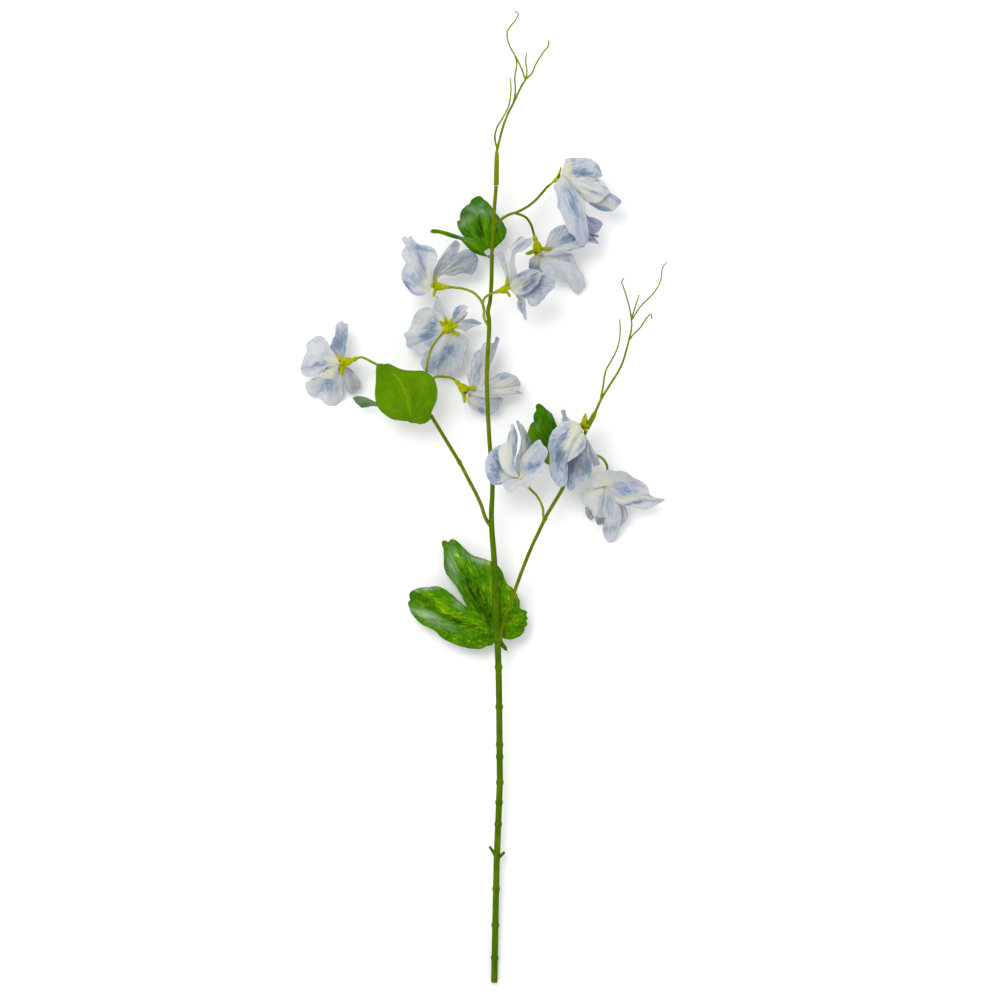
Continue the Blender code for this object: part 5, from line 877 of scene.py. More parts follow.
def calc(tree, operation, first, second=0.0, third=None):
    """The result of one sum on sockets or plain numbers."""
    made = node(tree, "ShaderNodeMath", operation=operation)
    feed(tree, first, made.inputs[0])
    feed(tree, second, made.inputs[1])
    if third is not None:
        feed(tree, third, made.inputs[2])
    return made.outputs[0]


def ramp(tree, source, low, high, floor=0.0, ceiling=1.0):
    """Smooth step of a value from low..high to floor..ceiling."""
    made = node(tree, "ShaderNodeMapRange", interpolation_type="SMOOTHSTEP")
    feed(tree, source, made.inputs["Value"])
    for label, value in (("From Min", low), ("From Max", high), ("To Min", floor), ("To Max", ceiling)):
        feed(tree, value, made.inputs[label])
    return made.outputs["Result"]


def near_middle(tree, value, width):
    """1 where a value crosses the middle of its range, fading to 0 over a width on both sides."""
    off_middle = calc(tree, "ABSOLUTE", calc(tree, "SUBTRACT", value, 0.5))
    return ramp(tree, off_middle, width, 0.0)


def blend_colour(tree, share, first, second):
    """From the first colour to the second as the share goes from 0 to 1."""
    made = node(tree, "ShaderNodeMix", data_type="RGBA")
    feed(tree, share, made.inputs["Factor"])
    for value, label in ((first, "A"), (second, "B")):
        socket = next(s for s in made.inputs if s.name == label and s.type == "RGBA")
        if isinstance(value, tuple):
            socket.default_value = value
        else:
            tree.links.new(value, socket)
    return next(s for s in made.outputs if s.type == "RGBA")


def wash_over(tree, share, shade, top, most=1.0):
    """Blend a colour over a shade by a share that is held to its most."""
    return blend_colour(tree, calc(tree, "MINIMUM", share, most), shade, top)


def speckle(tree, vector, scale, detail=3.0, roughness=0.5, stretch=None, distortion=0.0):
    """A noise value, optionally stretched by a mapping."""
    if stretch is not None:
        mapping = node(tree, "ShaderNodeMapping", {"Scale": stretch})
        tree.links.new(vector, mapping.inputs["Vector"])
        vector = mapping.outputs["Vector"]
    grain = {"Detail": detail, "Roughness": roughness, "Distortion": distortion}
    made = node(tree, "ShaderNodeTexNoise", grain)
    feed(tree, scale, made.inputs["Scale"])
    tree.links.new(vector, made.inputs["Vector"])
    return made.outputs["Fac"]


def make_weave_group():
    """Crossed threads of stiffened cloth, as a height."""
    tree, into, out = new_group(
        "cloth_weave", [("Vector", "NodeSocketVector", None), ("Threads", "NodeSocketFloat", 2600.0)],
        [("Height", "NodeSocketFloat")])
    threads = []
    for direction in ("X", "Y"):
        wave = node(tree, "ShaderNodeTexWave", {"Distortion": 0.6, "Detail": 1.0}, bands_direction=direction)
        tree.links.new(into.outputs["Vector"], wave.inputs["Vector"])
        tree.links.new(into.outputs["Threads"], wave.inputs["Scale"])
        threads.append(wave.outputs["Fac"])
    crossed = calc(tree, "MULTIPLY", threads[0], threads[1])
    tree.links.new(crossed, out.inputs["Height"])
    return tree


def make_vein_group():
    """Streaks, thin veins and short strokes that run from a petal's claw to its rim."""
    tree, into, out = new_group(
        "petal_veins", [("UV", "NodeSocketVector", None)],
        [("Streaks", "NodeSocketFloat"), ("Veins", "NodeSocketFloat"), ("Wash", "NodeSocketFloat"),
         ("Strokes", "NodeSocketFloat")])
    uv = into.outputs["UV"]
    broad = speckle(tree, uv, 1.0, detail=4.0, roughness=0.6, stretch=(13.0, 1.6, 1.0), distortion=0.4)
    tree.links.new(ramp(tree, broad, 0.36, 0.68), out.inputs["Streaks"])
    fine = speckle(tree, uv, 1.0, detail=2.0, roughness=0.5, stretch=(24.0, 2.2, 1.0), distortion=0.5)
    tree.links.new(near_middle(tree, fine, 0.035), out.inputs["Veins"])
    wash = speckle(tree, uv, 1.0, detail=5.0, roughness=0.62, stretch=(5.0, 3.4, 1.0), distortion=1.2)
    tree.links.new(ramp(tree, wash, 0.34, 0.66), out.inputs["Wash"])
    strokes = speckle(tree, uv, 1.0, detail=3.0, roughness=0.6, stretch=(22.0, 6.5, 1.0), distortion=0.7)
    tree.links.new(ramp(tree, strokes, 0.48, 0.62), out.inputs["Strokes"])
    return tree


def make_grain_group():
    """The fine pitting and soft clouding of moulded plastic."""
    tree, into, out = new_group(
        "moulded_grain", [("Vector", "NodeSocketVector", None), ("Size", "NodeSocketFloat", GRAIN_SIZE)],
        [("Height", "NodeSocketFloat"), ("Cloud", "NodeSocketFloat"), ("Fleck", "NodeSocketFloat")])
    vector, size = into.outputs["Vector"], into.outputs["Size"]
    tree.links.new(speckle(tree, vector, size, detail=4.0, roughness=0.65), out.inputs["Height"])
    cloud = speckle(tree, vector, calc(tree, "MULTIPLY", size, 0.08), detail=3.0, roughness=0.55)
    tree.links.new(ramp(tree, cloud, 0.35, 0.65), out.inputs["Cloud"])
    fleck = speckle(tree, vector, calc(tree, "MULTIPLY", size, 0.45), detail=2.0, roughness=0.5)
    tree.links.new(ramp(tree, fleck, 0.6, 0.72), out.inputs["Fleck"])
    return tree


def make_leaf_vein_group():
    """Ribs that fan out from a lobe's base, a net between them and long flecks along them."""
    tree, into, out = new_group(
        "leaf_veins", [("UV", "NodeSocketVector", None), ("Ribs", "NodeSocketFloat", float(LEAF_RIBS))],
        [("Rib", "NodeSocketFloat"), ("Net", "NodeSocketFloat"), ("Flecks", "NodeSocketFloat")])
    uv = into.outputs["UV"]
    split = node(tree, "ShaderNodeSeparateXYZ")
    tree.links.new(uv, split.inputs[0])
    wander = speckle(tree, uv, 6.0, detail=3.0, roughness=0.5)
    turn = calc(tree, "MULTIPLY_ADD", wander, 0.05, split.outputs["X"])
    turn = calc(tree, "FRACT", calc(tree, "MULTIPLY", turn, into.outputs["Ribs"]))
    off_rib = calc(tree, "ABSOLUTE", calc(tree, "SUBTRACT", turn, 0.5))
    fading = ramp(tree, split.outputs["Y"], 1.0, 0.45)
    tree.links.new(calc(tree, "MULTIPLY", ramp(tree, off_rib, 0.13, 0.02), fading), out.inputs["Rib"])
    net = speckle(tree, uv, 1.0, detail=4.0, roughness=0.6, stretch=(22.0, 14.0, 1.0), distortion=0.8)
    tree.links.new(near_middle(tree, net, 0.06), out.inputs["Net"])
    flecks = speckle(tree, uv, 1.0, detail=4.0, roughness=0.6, stretch=(34.0, 9.0, 1.0), distortion=0.6)
    tree.links.new(ramp(tree, flecks, 0.55, 0.63), out.inputs["Flecks"])
    return tree


# ---------------------------------------------------------------- paints


def use_group(tree, group, **values):
    """A shared group inside a paint, with its inputs joined or set."""
    made = node(tree, "ShaderNodeGroup", node_tree=group)
    for label, value in values.items():
        feed(tree, value, made.inputs[label])
    return made


def new_paint(name, **constants):
    """A new paint: its tree and its shader, whose named sockets hold the constants."""
    paint = bpy.data.materials.new(name)
    paint.use_nodes = True
    shader = paint.node_tree.nodes["Principled BSDF"]
    for label, value in constants.items():
        shader.inputs[label.replace("_", " ")].default_value = value
    return paint, paint.node_tree, shader


def painted_shares(tree, attribute):
    """The three colour channels of a piece's own attribute, and its fourth."""
    layer = node(tree, "ShaderNodeAttribute", attribute_name=attribute)
    parts = node(tree, "ShaderNodeSeparateColor")
    tree.links.new(layer.outputs["Color"], parts.inputs["Color"])
    return *(parts.outputs[label] for label in ("Red", "Green", "Blue")), layer.outputs["Alpha"]


def add_bump(tree, shader, height, distance, strength):
    """Let a height bend the shader's normals."""
    bump = node(tree, "ShaderNodeBump", {"Strength": strength, "Distance": distance})
    tree.links.new(height, bump.inputs["Height"])
    tree.links.new(bump.outputs["Normal"], shader.inputs["Normal"])


def petal_cloth(name, pale, blue, cream, lilac):
    """Dyed petal cloth with painted shade: the dye attribute says where, the vein group breaks it up."""
    paint, tree, shader = new_paint(
        name, Sheen_Weight=0.1, Specular_IOR_Level=0.3, Subsurface_Weight=0.1, Subsurface_Scale=0.3,
        Subsurface_Radius=(0.004, 0.003, 0.003))
    coordinates = node(tree, "ShaderNodeTexCoord")
    blue_dye, cream_dye, lilac_dye, slate_and_shade_dye = painted_shares(tree, "dye_and_shade")
    veins = use_group(tree, GROUPS["veins"], UV=coordinates.outputs["UV"])
    streaks, lines, wash = (veins.outputs[label] for label in ("Streaks", "Veins", "Wash"))
    clouds = speckle(tree, coordinates.outputs["Object"], 110.0, detail=4.0, roughness=0.6)
    specks = speckle(tree, coordinates.outputs["Object"], 620.0, detail=3.0, roughness=0.6)
    broken = calc(tree, "MULTIPLY_ADD", streaks, 0.6, calc(tree, "MULTIPLY", wash, 0.5))
    share = calc(tree, "MULTIPLY", blue_dye, calc(tree, "MULTIPLY_ADD", broken, 0.75, 0.3))
    share = calc(tree, "MULTIPLY_ADD", ramp(tree, clouds, 0.4, 0.7), 0.06, share)
    share = calc(tree, "MULTIPLY_ADD", ramp(tree, specks, 0.46, 0.62), 0.12, share)
    spread = calc(tree, "MULTIPLY_ADD", blue_dye, 0.4, 0.1)
    share = calc(tree, "MULTIPLY_ADD", veins.outputs["Strokes"], spread, share)
    base = wash_over(tree, share, pale, blue)
    share = calc(tree, "MULTIPLY", cream_dye, calc(tree, "MULTIPLY_ADD", wash, -0.25, 1.1))
    base = wash_over(tree, share, base, cream)
    share = calc(tree, "MULTIPLY", lilac_dye, calc(tree, "MULTIPLY_ADD", streaks, 0.5, 0.6))
    share = calc(tree, "MULTIPLY_ADD", lines, 0.14, share)
    base = wash_over(tree, share, base, lilac, DEEPEST_DYE)
    # The slate share darkens the cloth: partly a slate tint, mostly painted shade in creases, throats and
    # under petals.
    share = calc(tree, "MULTIPLY", slate_and_shade_dye, calc(tree, "MULTIPLY_ADD", broken, 0.4, 0.7))
    base = wash_over(tree, share, base, SLATE_AND_SHADE_DYE, DEEPEST_DYE)
    tree.links.new(base, shader.inputs["Base Color"])
    tree.links.new(calc(tree, "MULTIPLY_ADD", wash, 0.18, 0.62), shader.inputs["Roughness"])
    weave = use_group(tree, GROUPS["weave"], Vector=coordinates.outputs["Object"])
    height = calc(tree, "MULTIPLY_ADD", weave.outputs["Height"], 0.22, calc(tree, "MULTIPLY", streaks, 0.5))
    height = calc(tree, "MULTIPLY_ADD", lines, -0.25, height)
    add_bump(tree, shader, height, 0.0004, 0.5)
    return paint


def moulded_stem(name, base, light, dark, dullness, upper=None):
    """Moulded plastic with long streaks, pale wear and dark flecks. The upper half may have its own base."""
    paint, tree, shader = new_paint(name, Specular_IOR_Level=PLASTIC_SHINE)
    coordinates = node(tree, "ShaderNodeTexCoord")
    if upper:
        split = node(tree, "ShaderNodeSeparateXYZ")
        tree.links.new(coordinates.outputs["Object"], split.inputs["Vector"])
        share = calc(tree, "MULTIPLY", ramp(tree, split.outputs["Y"], -0.03, 0.06), 0.8)
        base = blend_colour(tree, share, base, upper)
    grain = use_group(tree, GROUPS["grain"], Vector=coordinates.outputs["Object"])
    fibres = speckle(tree, coordinates.outputs["Object"], 1.0, detail=4.0, roughness=0.6,
                     stretch=(900.0, 60.0, 900.0), distortion=0.3)
    shade = blend_colour(tree, calc(tree, "MULTIPLY", grain.outputs["Cloud"], 0.75), base, light)
    shade = blend_colour(tree, calc(tree, "MULTIPLY", ramp(tree, fibres, 0.45, 0.7), 0.55), shade, dark)
    shade = blend_colour(tree, calc(tree, "MULTIPLY", grain.outputs["Fleck"], 0.5), shade, dark)
    tree.links.new(shade, shader.inputs["Base Color"])
    roughness = calc(tree, "MULTIPLY_ADD", grain.outputs["Cloud"], 0.16, dullness)
    tree.links.new(roughness, shader.inputs["Roughness"])
    height = calc(tree, "MULTIPLY_ADD", fibres, 0.8, calc(tree, "MULTIPLY", grain.outputs["Height"], 0.5))
    add_bump(tree, shader, height, 0.00035, 0.6)
    return paint


def moulded_leaf(name, base, light, dark, fleck, flecking, dullness):
    """A leaf sheet: its tint attribute says where it is light or dark and where gloss and a painted highlight
    go; flecks follow the ribs.
    """
    paint, tree, shader = new_paint(name, Specular_IOR_Level=PLASTIC_SHINE, Coat_Roughness=0.2)
    coordinates = node(tree, "ShaderNodeTexCoord")
    light_tint, dark_tint, gloss_and_highlight_tint, _ = painted_shares(tree, "tint_and_highlight")
    veins = use_group(tree, GROUPS["leaf_veins"], UV=coordinates.outputs["UV"])
    grain = use_group(tree, GROUPS["grain"], Vector=coordinates.outputs["Object"])
    rib, net, flecks = (veins.outputs[label] for label in ("Rib", "Net", "Flecks"))
    cloud = grain.outputs["Cloud"]
    share = calc(tree, "MULTIPLY_ADD", cloud, 0.3, calc(tree, "MULTIPLY", light_tint, 0.8))
    shade = wash_over(tree, share, base, light)
    share = calc(tree, "MULTIPLY", dark_tint, calc(tree, "MULTIPLY_ADD", cloud, 0.3, 0.75))
    shade = wash_over(tree, share, shade, dark)
    shade = blend_colour(tree, calc(tree, "MULTIPLY", rib, 0.4), shade, light)
    shade = blend_colour(tree, calc(tree, "MULTIPLY", net, 0.25), shade, light)
    mottle = speckle(tree, coordinates.outputs["Object"], 330.0, detail=4.0, roughness=0.65)
    share = calc(tree, "MULTIPLY", ramp(tree, mottle, 0.46, 0.58), 0.5 * flecking)
    shade = blend_colour(tree, share, shade, dark)
    share = calc(tree, "MULTIPLY_ADD", light_tint, 1.1, 0.3)
    share = calc(tree, "MULTIPLY", calc(tree, "MULTIPLY", flecks, flecking), share)
    shade = wash_over(tree, share, shade, fleck)
    # The gloss mask sets the coat and also lightens the colour to pale green: a painted highlight.
    gloss_and_highlight = calc(tree, "MULTIPLY", gloss_and_highlight_tint, calc(tree, "MULTIPLY_ADD", cloud, 0.4, 0.6))
    shade = blend_colour(tree, calc(tree, "MULTIPLY", gloss_and_highlight, 0.5), shade, PAINTED_LEAF_HIGHLIGHT)
    tree.links.new(shade, shader.inputs["Base Color"])
    tree.links.new(calc(tree, "MULTIPLY_ADD", cloud, 0.15, dullness), shader.inputs["Roughness"])
    tree.links.new(gloss_and_highlight, shader.inputs["Coat Weight"])
    height = calc(tree, "MULTIPLY_ADD", rib, -1.0, calc(tree, "MULTIPLY", net, -0.4))
    height = calc(tree, "MULTIPLY_ADD", grain.outputs["Height"], 0.35, height)
    add_bump(tree, shader, height, 0.0004, 0.6)
    return paint


# ---------------------------------------------------------------- pieces


def add_sheet(name, points):
    """A flat grid whose points are then pushed to their places, with its own UV map."""
    rows, columns = points.shape[0] - 1, points.shape[1] - 1
    start_fresh()
    bpy.ops.mesh.primitive_grid_add(x_subdivisions=columns, y_subdivisions=rows, size=1.0)
    piece = bpy.context.object
    piece.name = name
    for vertex in piece.data.vertices:
        column = round((vertex.co.x + 0.5) * columns)
        row = round((vertex.co.y + 0.5) * rows)
        vertex.co = place(points[row, column])
    return piece


def face_up(piece):
    """Turn the sheet's faces so that its outer side is the upper one."""
    if sum(face.normal.z * face.area for face in piece.data.polygons) < 0:
        bpy.ops.object.mode_set(mode="EDIT")
        bpy.ops.mesh.select_all(action="SELECT")
        bpy.ops.mesh.flip_normals()
        bpy.ops.object.mode_set(mode="OBJECT")


def thicken(piece, thickness):
    """Give a sheet its thickness, half on each side."""
    modifier = piece.modifiers.new("thickness", "SOLIDIFY")
    modifier.thickness = thickness * MM
    modifier.offset = 0.0
    bpy.context.view_layer.objects.active = piece
    bpy.ops.object.modifier_apply(modifier=modifier.name)


def rod(name, stations, sides=12):
    """A round rod through (x, y, z, radius) stations, made as a curve and turned into a mesh."""
    start_fresh()
    bpy.ops.curve.primitive_bezier_curve_add(radius=1.0, location=(0, 0, 0))
    piece = bpy.context.object
    piece.name = name
    spline = piece.data.splines[0]
    spline.bezier_points.add(len(stations) - len(spline.bezier_points))
    for point, station in zip(spline.bezier_points, stations):
        point.co = place(station[:3])
        point.radius = station[3]
        point.handle_left_type = point.handle_right_type = "AUTO"
    piece.data.dimensions = "3D"
    piece.data.bevel_depth = MM
    piece.data.bevel_resolution = sides // 4
    piece.data.resolution_u = ROD_STEPS
    piece.data.use_fill_caps = True
    bpy.ops.object.convert(target="MESH")
    return bpy.context.object


def join_pieces(name, pieces):
    """One piece out of several, smooth apart from its sharp edges."""
    start_fresh()
    for piece in pieces:
        piece.select_set(True)
    bpy.context.view_layer.objects.active = pieces[0]
    if len(pieces) > 1:
        bpy.ops.object.join()
    joined = bpy.context.object
    joined.name = name
    joined.data.name = name
    joined.select_set(True)
    bpy.ops.object.shade_smooth_by_angle(angle=SHARP_EDGE)
    return joined


def finish_piece(piece, paint, slot, *nodes):
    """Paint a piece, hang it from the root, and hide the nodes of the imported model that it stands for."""
    piece.data.materials.clear()
    piece.data.materials.append(paint)
    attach(piece, "root")
    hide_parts(*nodes)


# ---------------------------------------------------------------- petals and leaves


def rim_line(rim, columns):
    """Even steps along a smooth line through the rim's points."""
    knots = np.array(rim, float)
    ends = np.vstack((2 * knots[0] - knots[1], knots, 2 * knots[-1] - knots[-2]))
    line = []
    for before, start, end, after in zip(ends, ends[1:], ends[2:], ends[3:]):
        for t in np.linspace(0, 1, RIM_STEPS, endpoint=False):
            bend = 2 * before - 5 * start + 4 * end - after
            twist = 3 * start - before - 3 * end + after
            line.append(start + 0.5 * ((end - before) * t + bend * t ** 2 + twist * t ** 3))
    line = np.array(line + [knots[-1]])
    lengths = np.concatenate(([0.0], np.cumsum(np.linalg.norm(np.diff(line, axis=0), axis=1))))
    even = np.linspace(0, lengths[-1], columns + 1)
    return np.stack([np.interp(even, lengths, line[:, axis]) for axis in range(3)], axis=1)


def ripple(across, along, seed):
    """Soft noise between about -1 and 1 at one place."""
    return noise.noise(Vector((across, along, seed)))


def ripples(shape, across, along, seed):
    """A sheet of soft noise with so many waves across and along the petal."""
    rows, columns = shape
    return np.array([[ripple(across * column / (columns - 1), along * row / (rows - 1), seed)
                      for column in range(columns)] for row in range(rows)])


def fall_off(xs, ys, fold):
    """How close each point is to a fold's line: 1 on its middle, fading over its width and to its ends."""
    start, end = np.array(fold[:2], float), np.array(fold[2:4], float)
    run = end - start
    share = np.clip(((xs - start[0]) * run[0] + (ys - start[1]) * run[1]) / (run @ run), 0, 1)
    distance = np.hypot(xs - start[0] - share * run[0], ys - start[1] - share * run[1])
    return np.exp(-distance / fold[4]) * (FOLD_END + (1 - FOLD_END) * np.sin(np.pi * share))


def dab_of_dye(xs, ys, dab):
    """The strength of one soft oval dab at each point."""
    _, x, y, length, width, turn, strength = dab
    turn = math.radians(turn)
    along = (xs - x) * math.cos(turn) + (ys - y) * math.sin(turn)
    across = (ys - y) * math.cos(turn) - (xs - x) * math.sin(turn)
    reach, spread = DAB_REACH * length, DAB_EDGE + DAB_SPREAD * width
    return strength * np.exp(-(along / reach) ** 2 - (across / spread) ** 2)


def petal_sheet(shape, lift, seed, rows, columns):
    """Points of a petal, in millimetres from its claw: rows run from the claw to the rim."""
    throat = np.zeros(3)
    rim = rim_line(shape.rim, columns) - (0, 0, lift)
    uneven = np.array([0.6 * ripple(11 * u, 0.3, seed) + 0.5 * ripple(34 * u, 0.7, seed)
                       for u in np.linspace(0, 1, columns + 1)])
    reach = np.hypot(rim[:, 0], rim[:, 1])
    rim[:, :2] *= (1 + RAGGED * uneven / np.maximum(reach, SHORT_REACH))[:, None]
    edges = []
    for edge, corner in ((shape.left, rim[0]), (shape.right, rim[-1])):
        inner = [tuple(np.array(point) - (0, 0, lift)) for point in edge]
        edges.append(rim_line([throat, *inner, corner], rows))
    left, right = edges
    u = np.linspace(0, 1, columns + 1)[None, :, None]
    v = np.linspace(0, 1, rows + 1)[:, None, None]
    sheet = v * rim[None] + (1 - u) * (left[:, None] - v * left[-1]) + u * (right[:, None] - v * right[-1])
    sheet[..., 2] += (shape.dome * np.sin(np.pi * v) * (1 - (2 * u - 1) ** 2))[..., 0]
    return sheet


def sheet_steps(sheet):
    """Steps across the sheet and from its claw to its rim, both from 0 to 1."""
    rows, columns = sheet.shape[:2]
    return np.linspace(0, 1, columns)[None, :], np.linspace(0, 1, rows)[:, None]


def sheet_normals(sheet):
    """The direction out of a sheet at each of its points, on its upper side."""
    normals = np.cross(np.gradient(sheet, axis=1), np.gradient(sheet, axis=0))
    normals *= np.sign(normals[..., 2].sum())
    return normals / np.maximum(np.linalg.norm(normals, axis=2, keepdims=True), 1e-9)


def mould(name, claw, sheet, push, folds, thickness):
    """Push a sheet in and out along its own normals, crease its folds and keep it above the table."""
    _, v = sheet_steps(sheet)
    for fold in folds:
        push = push + fold[5] * fall_off(sheet[..., 0], sheet[..., 1], fold) * np.minimum(1, FOLD_RISE * v)
    shaped = claw + sheet + push[..., None] * sheet_normals(sheet)
    shaped[..., 2] = np.maximum(shaped[..., 2], 0.5 * thickness + FLOOR_GAP)
    return add_sheet(name, shaped)


def dab_colours(piece, label, sheet, shares, dabs, seed):
    """Add the dabs, bled at their edges, to the shares of each colour, and keep them with the piece."""
    size = sheet.shape[:2]
    bled_x, bled_y = (sheet[..., axis] + BLEED * ripples(size, 9, 7, seed + 5 + axis) for axis in (0, 1))
    for dab in dabs:
        shares[dab[0]] = shares[dab[0]] + dab_of_dye(bled_x, bled_y, dab)
    layer = piece.data.attributes.new(label, "FLOAT_COLOR", "POINT")
    layer.data.foreach_set("color", np.clip(np.stack(shares, axis=-1), 0, 1).ravel())


def petal(name, claw, shape, lift, seed):
    """One cloth petal: its sheet, then its folds, a ruffled rim and fine creases, and its dye and painted
    shade.
    """
    sheet = petal_sheet(shape, lift, seed, PETAL_ROWS, PETAL_COLUMNS)
    u, v = sheet_steps(sheet)
    size = sheet.shape[:2]
    edge = np.minimum(np.minimum(u, 1 - u) * (0.5 + v), 1 - v)
    push = RUFFLE * v ** 2 * ripples(size, 9, 2, seed) * np.exp(-edge / RUFFLED_RIM)
    push += CREASE * v * ripples(size, 19, 3, seed + 1) + BOW * v * ripples(size, 4.5, 3.5, seed + 3)
    piece = mould(name, claw, sheet, push, shape.folds, CLOTH)
    shares = [
        shape.tone + 0.3 * ripples(size, 3.5, 2.2, seed),
        0.85 * np.exp(-(np.hypot(sheet[..., 0], sheet[..., 1]) / CREAM_CLAW) ** 2),
        0.22 * np.exp(-edge / LILAC_RIM) * (0.7 + ripples(size, 6, 3, seed + 9)),
        np.zeros(size),
    ]
    dab_colours(piece, "dye_and_shade", sheet, shares, shape.dabs, seed)
    face_up(piece)
    thicken(piece, CLOTH)
    return piece


def claw_bead(claw):
    """The crimped cloth at a petal's claw."""
    start_fresh()
    bpy.ops.mesh.primitive_uv_sphere_add(
        segments=16, ring_count=10, radius=CLAW_RADIUS * MM, location=place(claw))
    bead = bpy.context.object
    for vertex in bead.data.vertices:
        turn = math.atan2(vertex.co.y, vertex.co.x)
        vertex.co *= 1 + CRIMP * math.sin(CRIMPS * turn)
    bpy.ops.object.transform_apply(location=True, rotation=False, scale=False)
    dye_and_shade = bead.data.attributes.new("dye_and_shade", "FLOAT_COLOR", "POINT")
    for item in dye_and_shade.data:
        item.color = ALL_CREAM
    return bead


def leaf_lobe(name, claw, shape, seed):
    """One leaf lobe: a bowed sheet with sunken ribs, folds and a wavy margin, and its tints with painted
    highlights.
    """
    sheet = petal_sheet(shape, 0.0, seed, LEAF_ROWS, LEAF_COLUMNS)
    u, v = sheet_steps(sheet)
    size = sheet.shape[:2]
    push = WAVY_MARGIN * v ** 3 * np.sin(2 * np.pi * MARGIN_WAVES * u + seed)
    push += LEAF_BOW * v * ripples(size, 5, 4, seed)
    push -= SUNKEN_RIB * v * np.cos(2 * np.pi * LEAF_RIBS * u) ** 2
    piece = mould(name, claw, sheet, push, shape.folds, LEAF_SHEET)
    margin = np.minimum(np.minimum(u, 1 - u) * (0.2 + v), 1 - v)
    shares = [
        0.3 * ripples(size, 6, 5, seed + 2),
        0.3 * ripples(size, 4, 4, seed + 4) + 0.55 * v ** 2 * np.exp(-margin / DARK_MARGIN),
        np.zeros(size),
        np.zeros(size),
    ]
    dab_colours(piece, "tint_and_highlight", sheet, shares, shape.dabs, seed)
    face_up(piece)
    thicken(piece, LEAF_SHEET)
    return piece


# ---------------------------------------------------------------- calyxes


def calyx_frame(blossom):
    """The middle of a calyx's mouth, its direction and two directions across it."""
    aim = unit(blossom.aim)
    side = unit(np.cross(aim, UP))
    over = np.cross(side, aim)
    back = CLAW_STEP * abs(aim[2]) + CLAW_RADIUS + MOUTH_GAP
    return np.array(blossom.claw, float) - back * aim, aim, side, over


def calyx_foot(blossom):
    """The end of a calyx's sleeve, and the calyx's direction."""
    mouth, aim, _, _ = calyx_frame(blossom)
    return mouth - (blossom.calyx + blossom.sleeve) * aim, aim


def calyx_bell(name, blossom):
    """A fluted bell, from its sleeve to its mouth, with an inner lip."""
    mouth, aim, side, over = calyx_frame(blossom)
    length = blossom.calyx
    foot = -length - blossom.sleeve
    profile = [
        (foot, 0.95), (foot + 0.2, 1.4), (-length - 0.3, 1.55), (-length, 1.2), (-0.85 * length, 1.7),
        (-0.7 * length, 2.25), (-0.45 * length, 2.75), (-0.2 * length, 3.0), (0.0, 3.2),
        (-0.1, 2.5), (-0.25 * length, 2.2), (-0.3 * length, 0.3)]
    points = np.empty((len(profile), BELL_COLUMNS + 1, 3))
    for row, (distance, radius) in enumerate(profile):
        for column in range(BELL_COLUMNS + 1):
            turn = 2 * math.pi * column / BELL_COLUMNS
            flute = 1 + FLUTE_DEPTH * math.cos(FLUTES * turn) * (distance > -length)
            outward = math.cos(turn) * side + math.sin(turn) * over
            points[row, column] = mouth + distance * aim + flute * blossom.girth * radius * outward
    piece = add_sheet(name, points)
    bpy.ops.object.mode_set(mode="EDIT")
    bpy.ops.mesh.select_all(action="SELECT")
    bpy.ops.mesh.remove_doubles(threshold=WELD)
    bpy.ops.mesh.select_all(action="DESELECT")
    bpy.ops.mesh.select_non_manifold()
    bpy.ops.mesh.fill_holes(sides=0)
    bpy.ops.mesh.select_all(action="SELECT")
    bpy.ops.mesh.normals_make_consistent(inside=False)
    bpy.ops.object.mode_set(mode="OBJECT")
    return piece


def sepal(root, outward, forward, length, width, lean):
    """One blunt green finger of the calyx, leaning towards the petals."""
    stations = []
    for share, thick in SEPAL_TAPER:
        point = root + outward * length * share + forward * lean * math.sin(0.5 * math.pi * share)
        radius = 0.5 * thick * width
        point[2] = max(point[2], radius + FLOOR_GAP)
        stations.append((*point, radius))
    return rod("sepal", stations)


# ---------------------------------------------------------------- build


def ringed(route):
    """The main stem's stations with a short swelling at each moulded ring."""
    ys = [station[1] for station in route]
    stations = {station[1]: station for station in route
                if all(abs(station[1] - ring) > RING_ROOM for ring in STEM_RINGS)}
    for ring in STEM_RINGS:
        for offset, swell in RING_SWELL:
            y = ring + offset
            station = [float(np.interp(y, ys, [item[axis] for item in route])) for axis in range(4)]
            station[3] += swell
            stations[y] = tuple(station)
    return [stations[y] for y in sorted(stations)]


def build_stems():
    """The main stem with its knuckle, the two branches, and the stalks up to their calyxes."""
    parts = [rod("main_stem", ringed(MAIN_STEM), sides=16)]
    parts += [rod("knuckle", stub) for stub in KNUCKLE_STUBS]
    finish_piece(join_pieces("stem_main", parts), PAINTS["stem"], "stem", "main_stem")
    for side, route in (("left", LEFT_BRANCH), ("right", RIGHT_BRANCH)):
        branch = join_pieces(f"branch_{side}", [rod(f"{side}_branch", route)])
        finish_piece(branch, PAINTS["branch"], "stem", f"{side}_branch")
    for name, arms in STALKS.items():
        rods = []
        for blossom, route in arms:
            foot, aim = calyx_foot(BLOSSOMS[blossom])
            ends = [(*(foot - distance * aim), STALK_END) for distance in STALK_RUN_IN]
            rods.append(rod(name, route + ends))
        stalk = join_pieces(name.replace("stalk", "flower_stalk"), rods)
        paint = "branch" if name == "stalk_top" else "stalk"  # the top stalk is as dark as a branch
        finish_piece(stalk, PAINTS[paint], "stem", name)


def build_tendrils():
    """The two forked tendrils, each one piece."""
    for name, arms in TENDRILS.items():
        tendril = join_pieces(name.replace("tendril", "curling_tendril"), [rod(name, arm) for arm in arms])
        finish_piece(tendril, PAINTS["tendril"], "tendril", name)


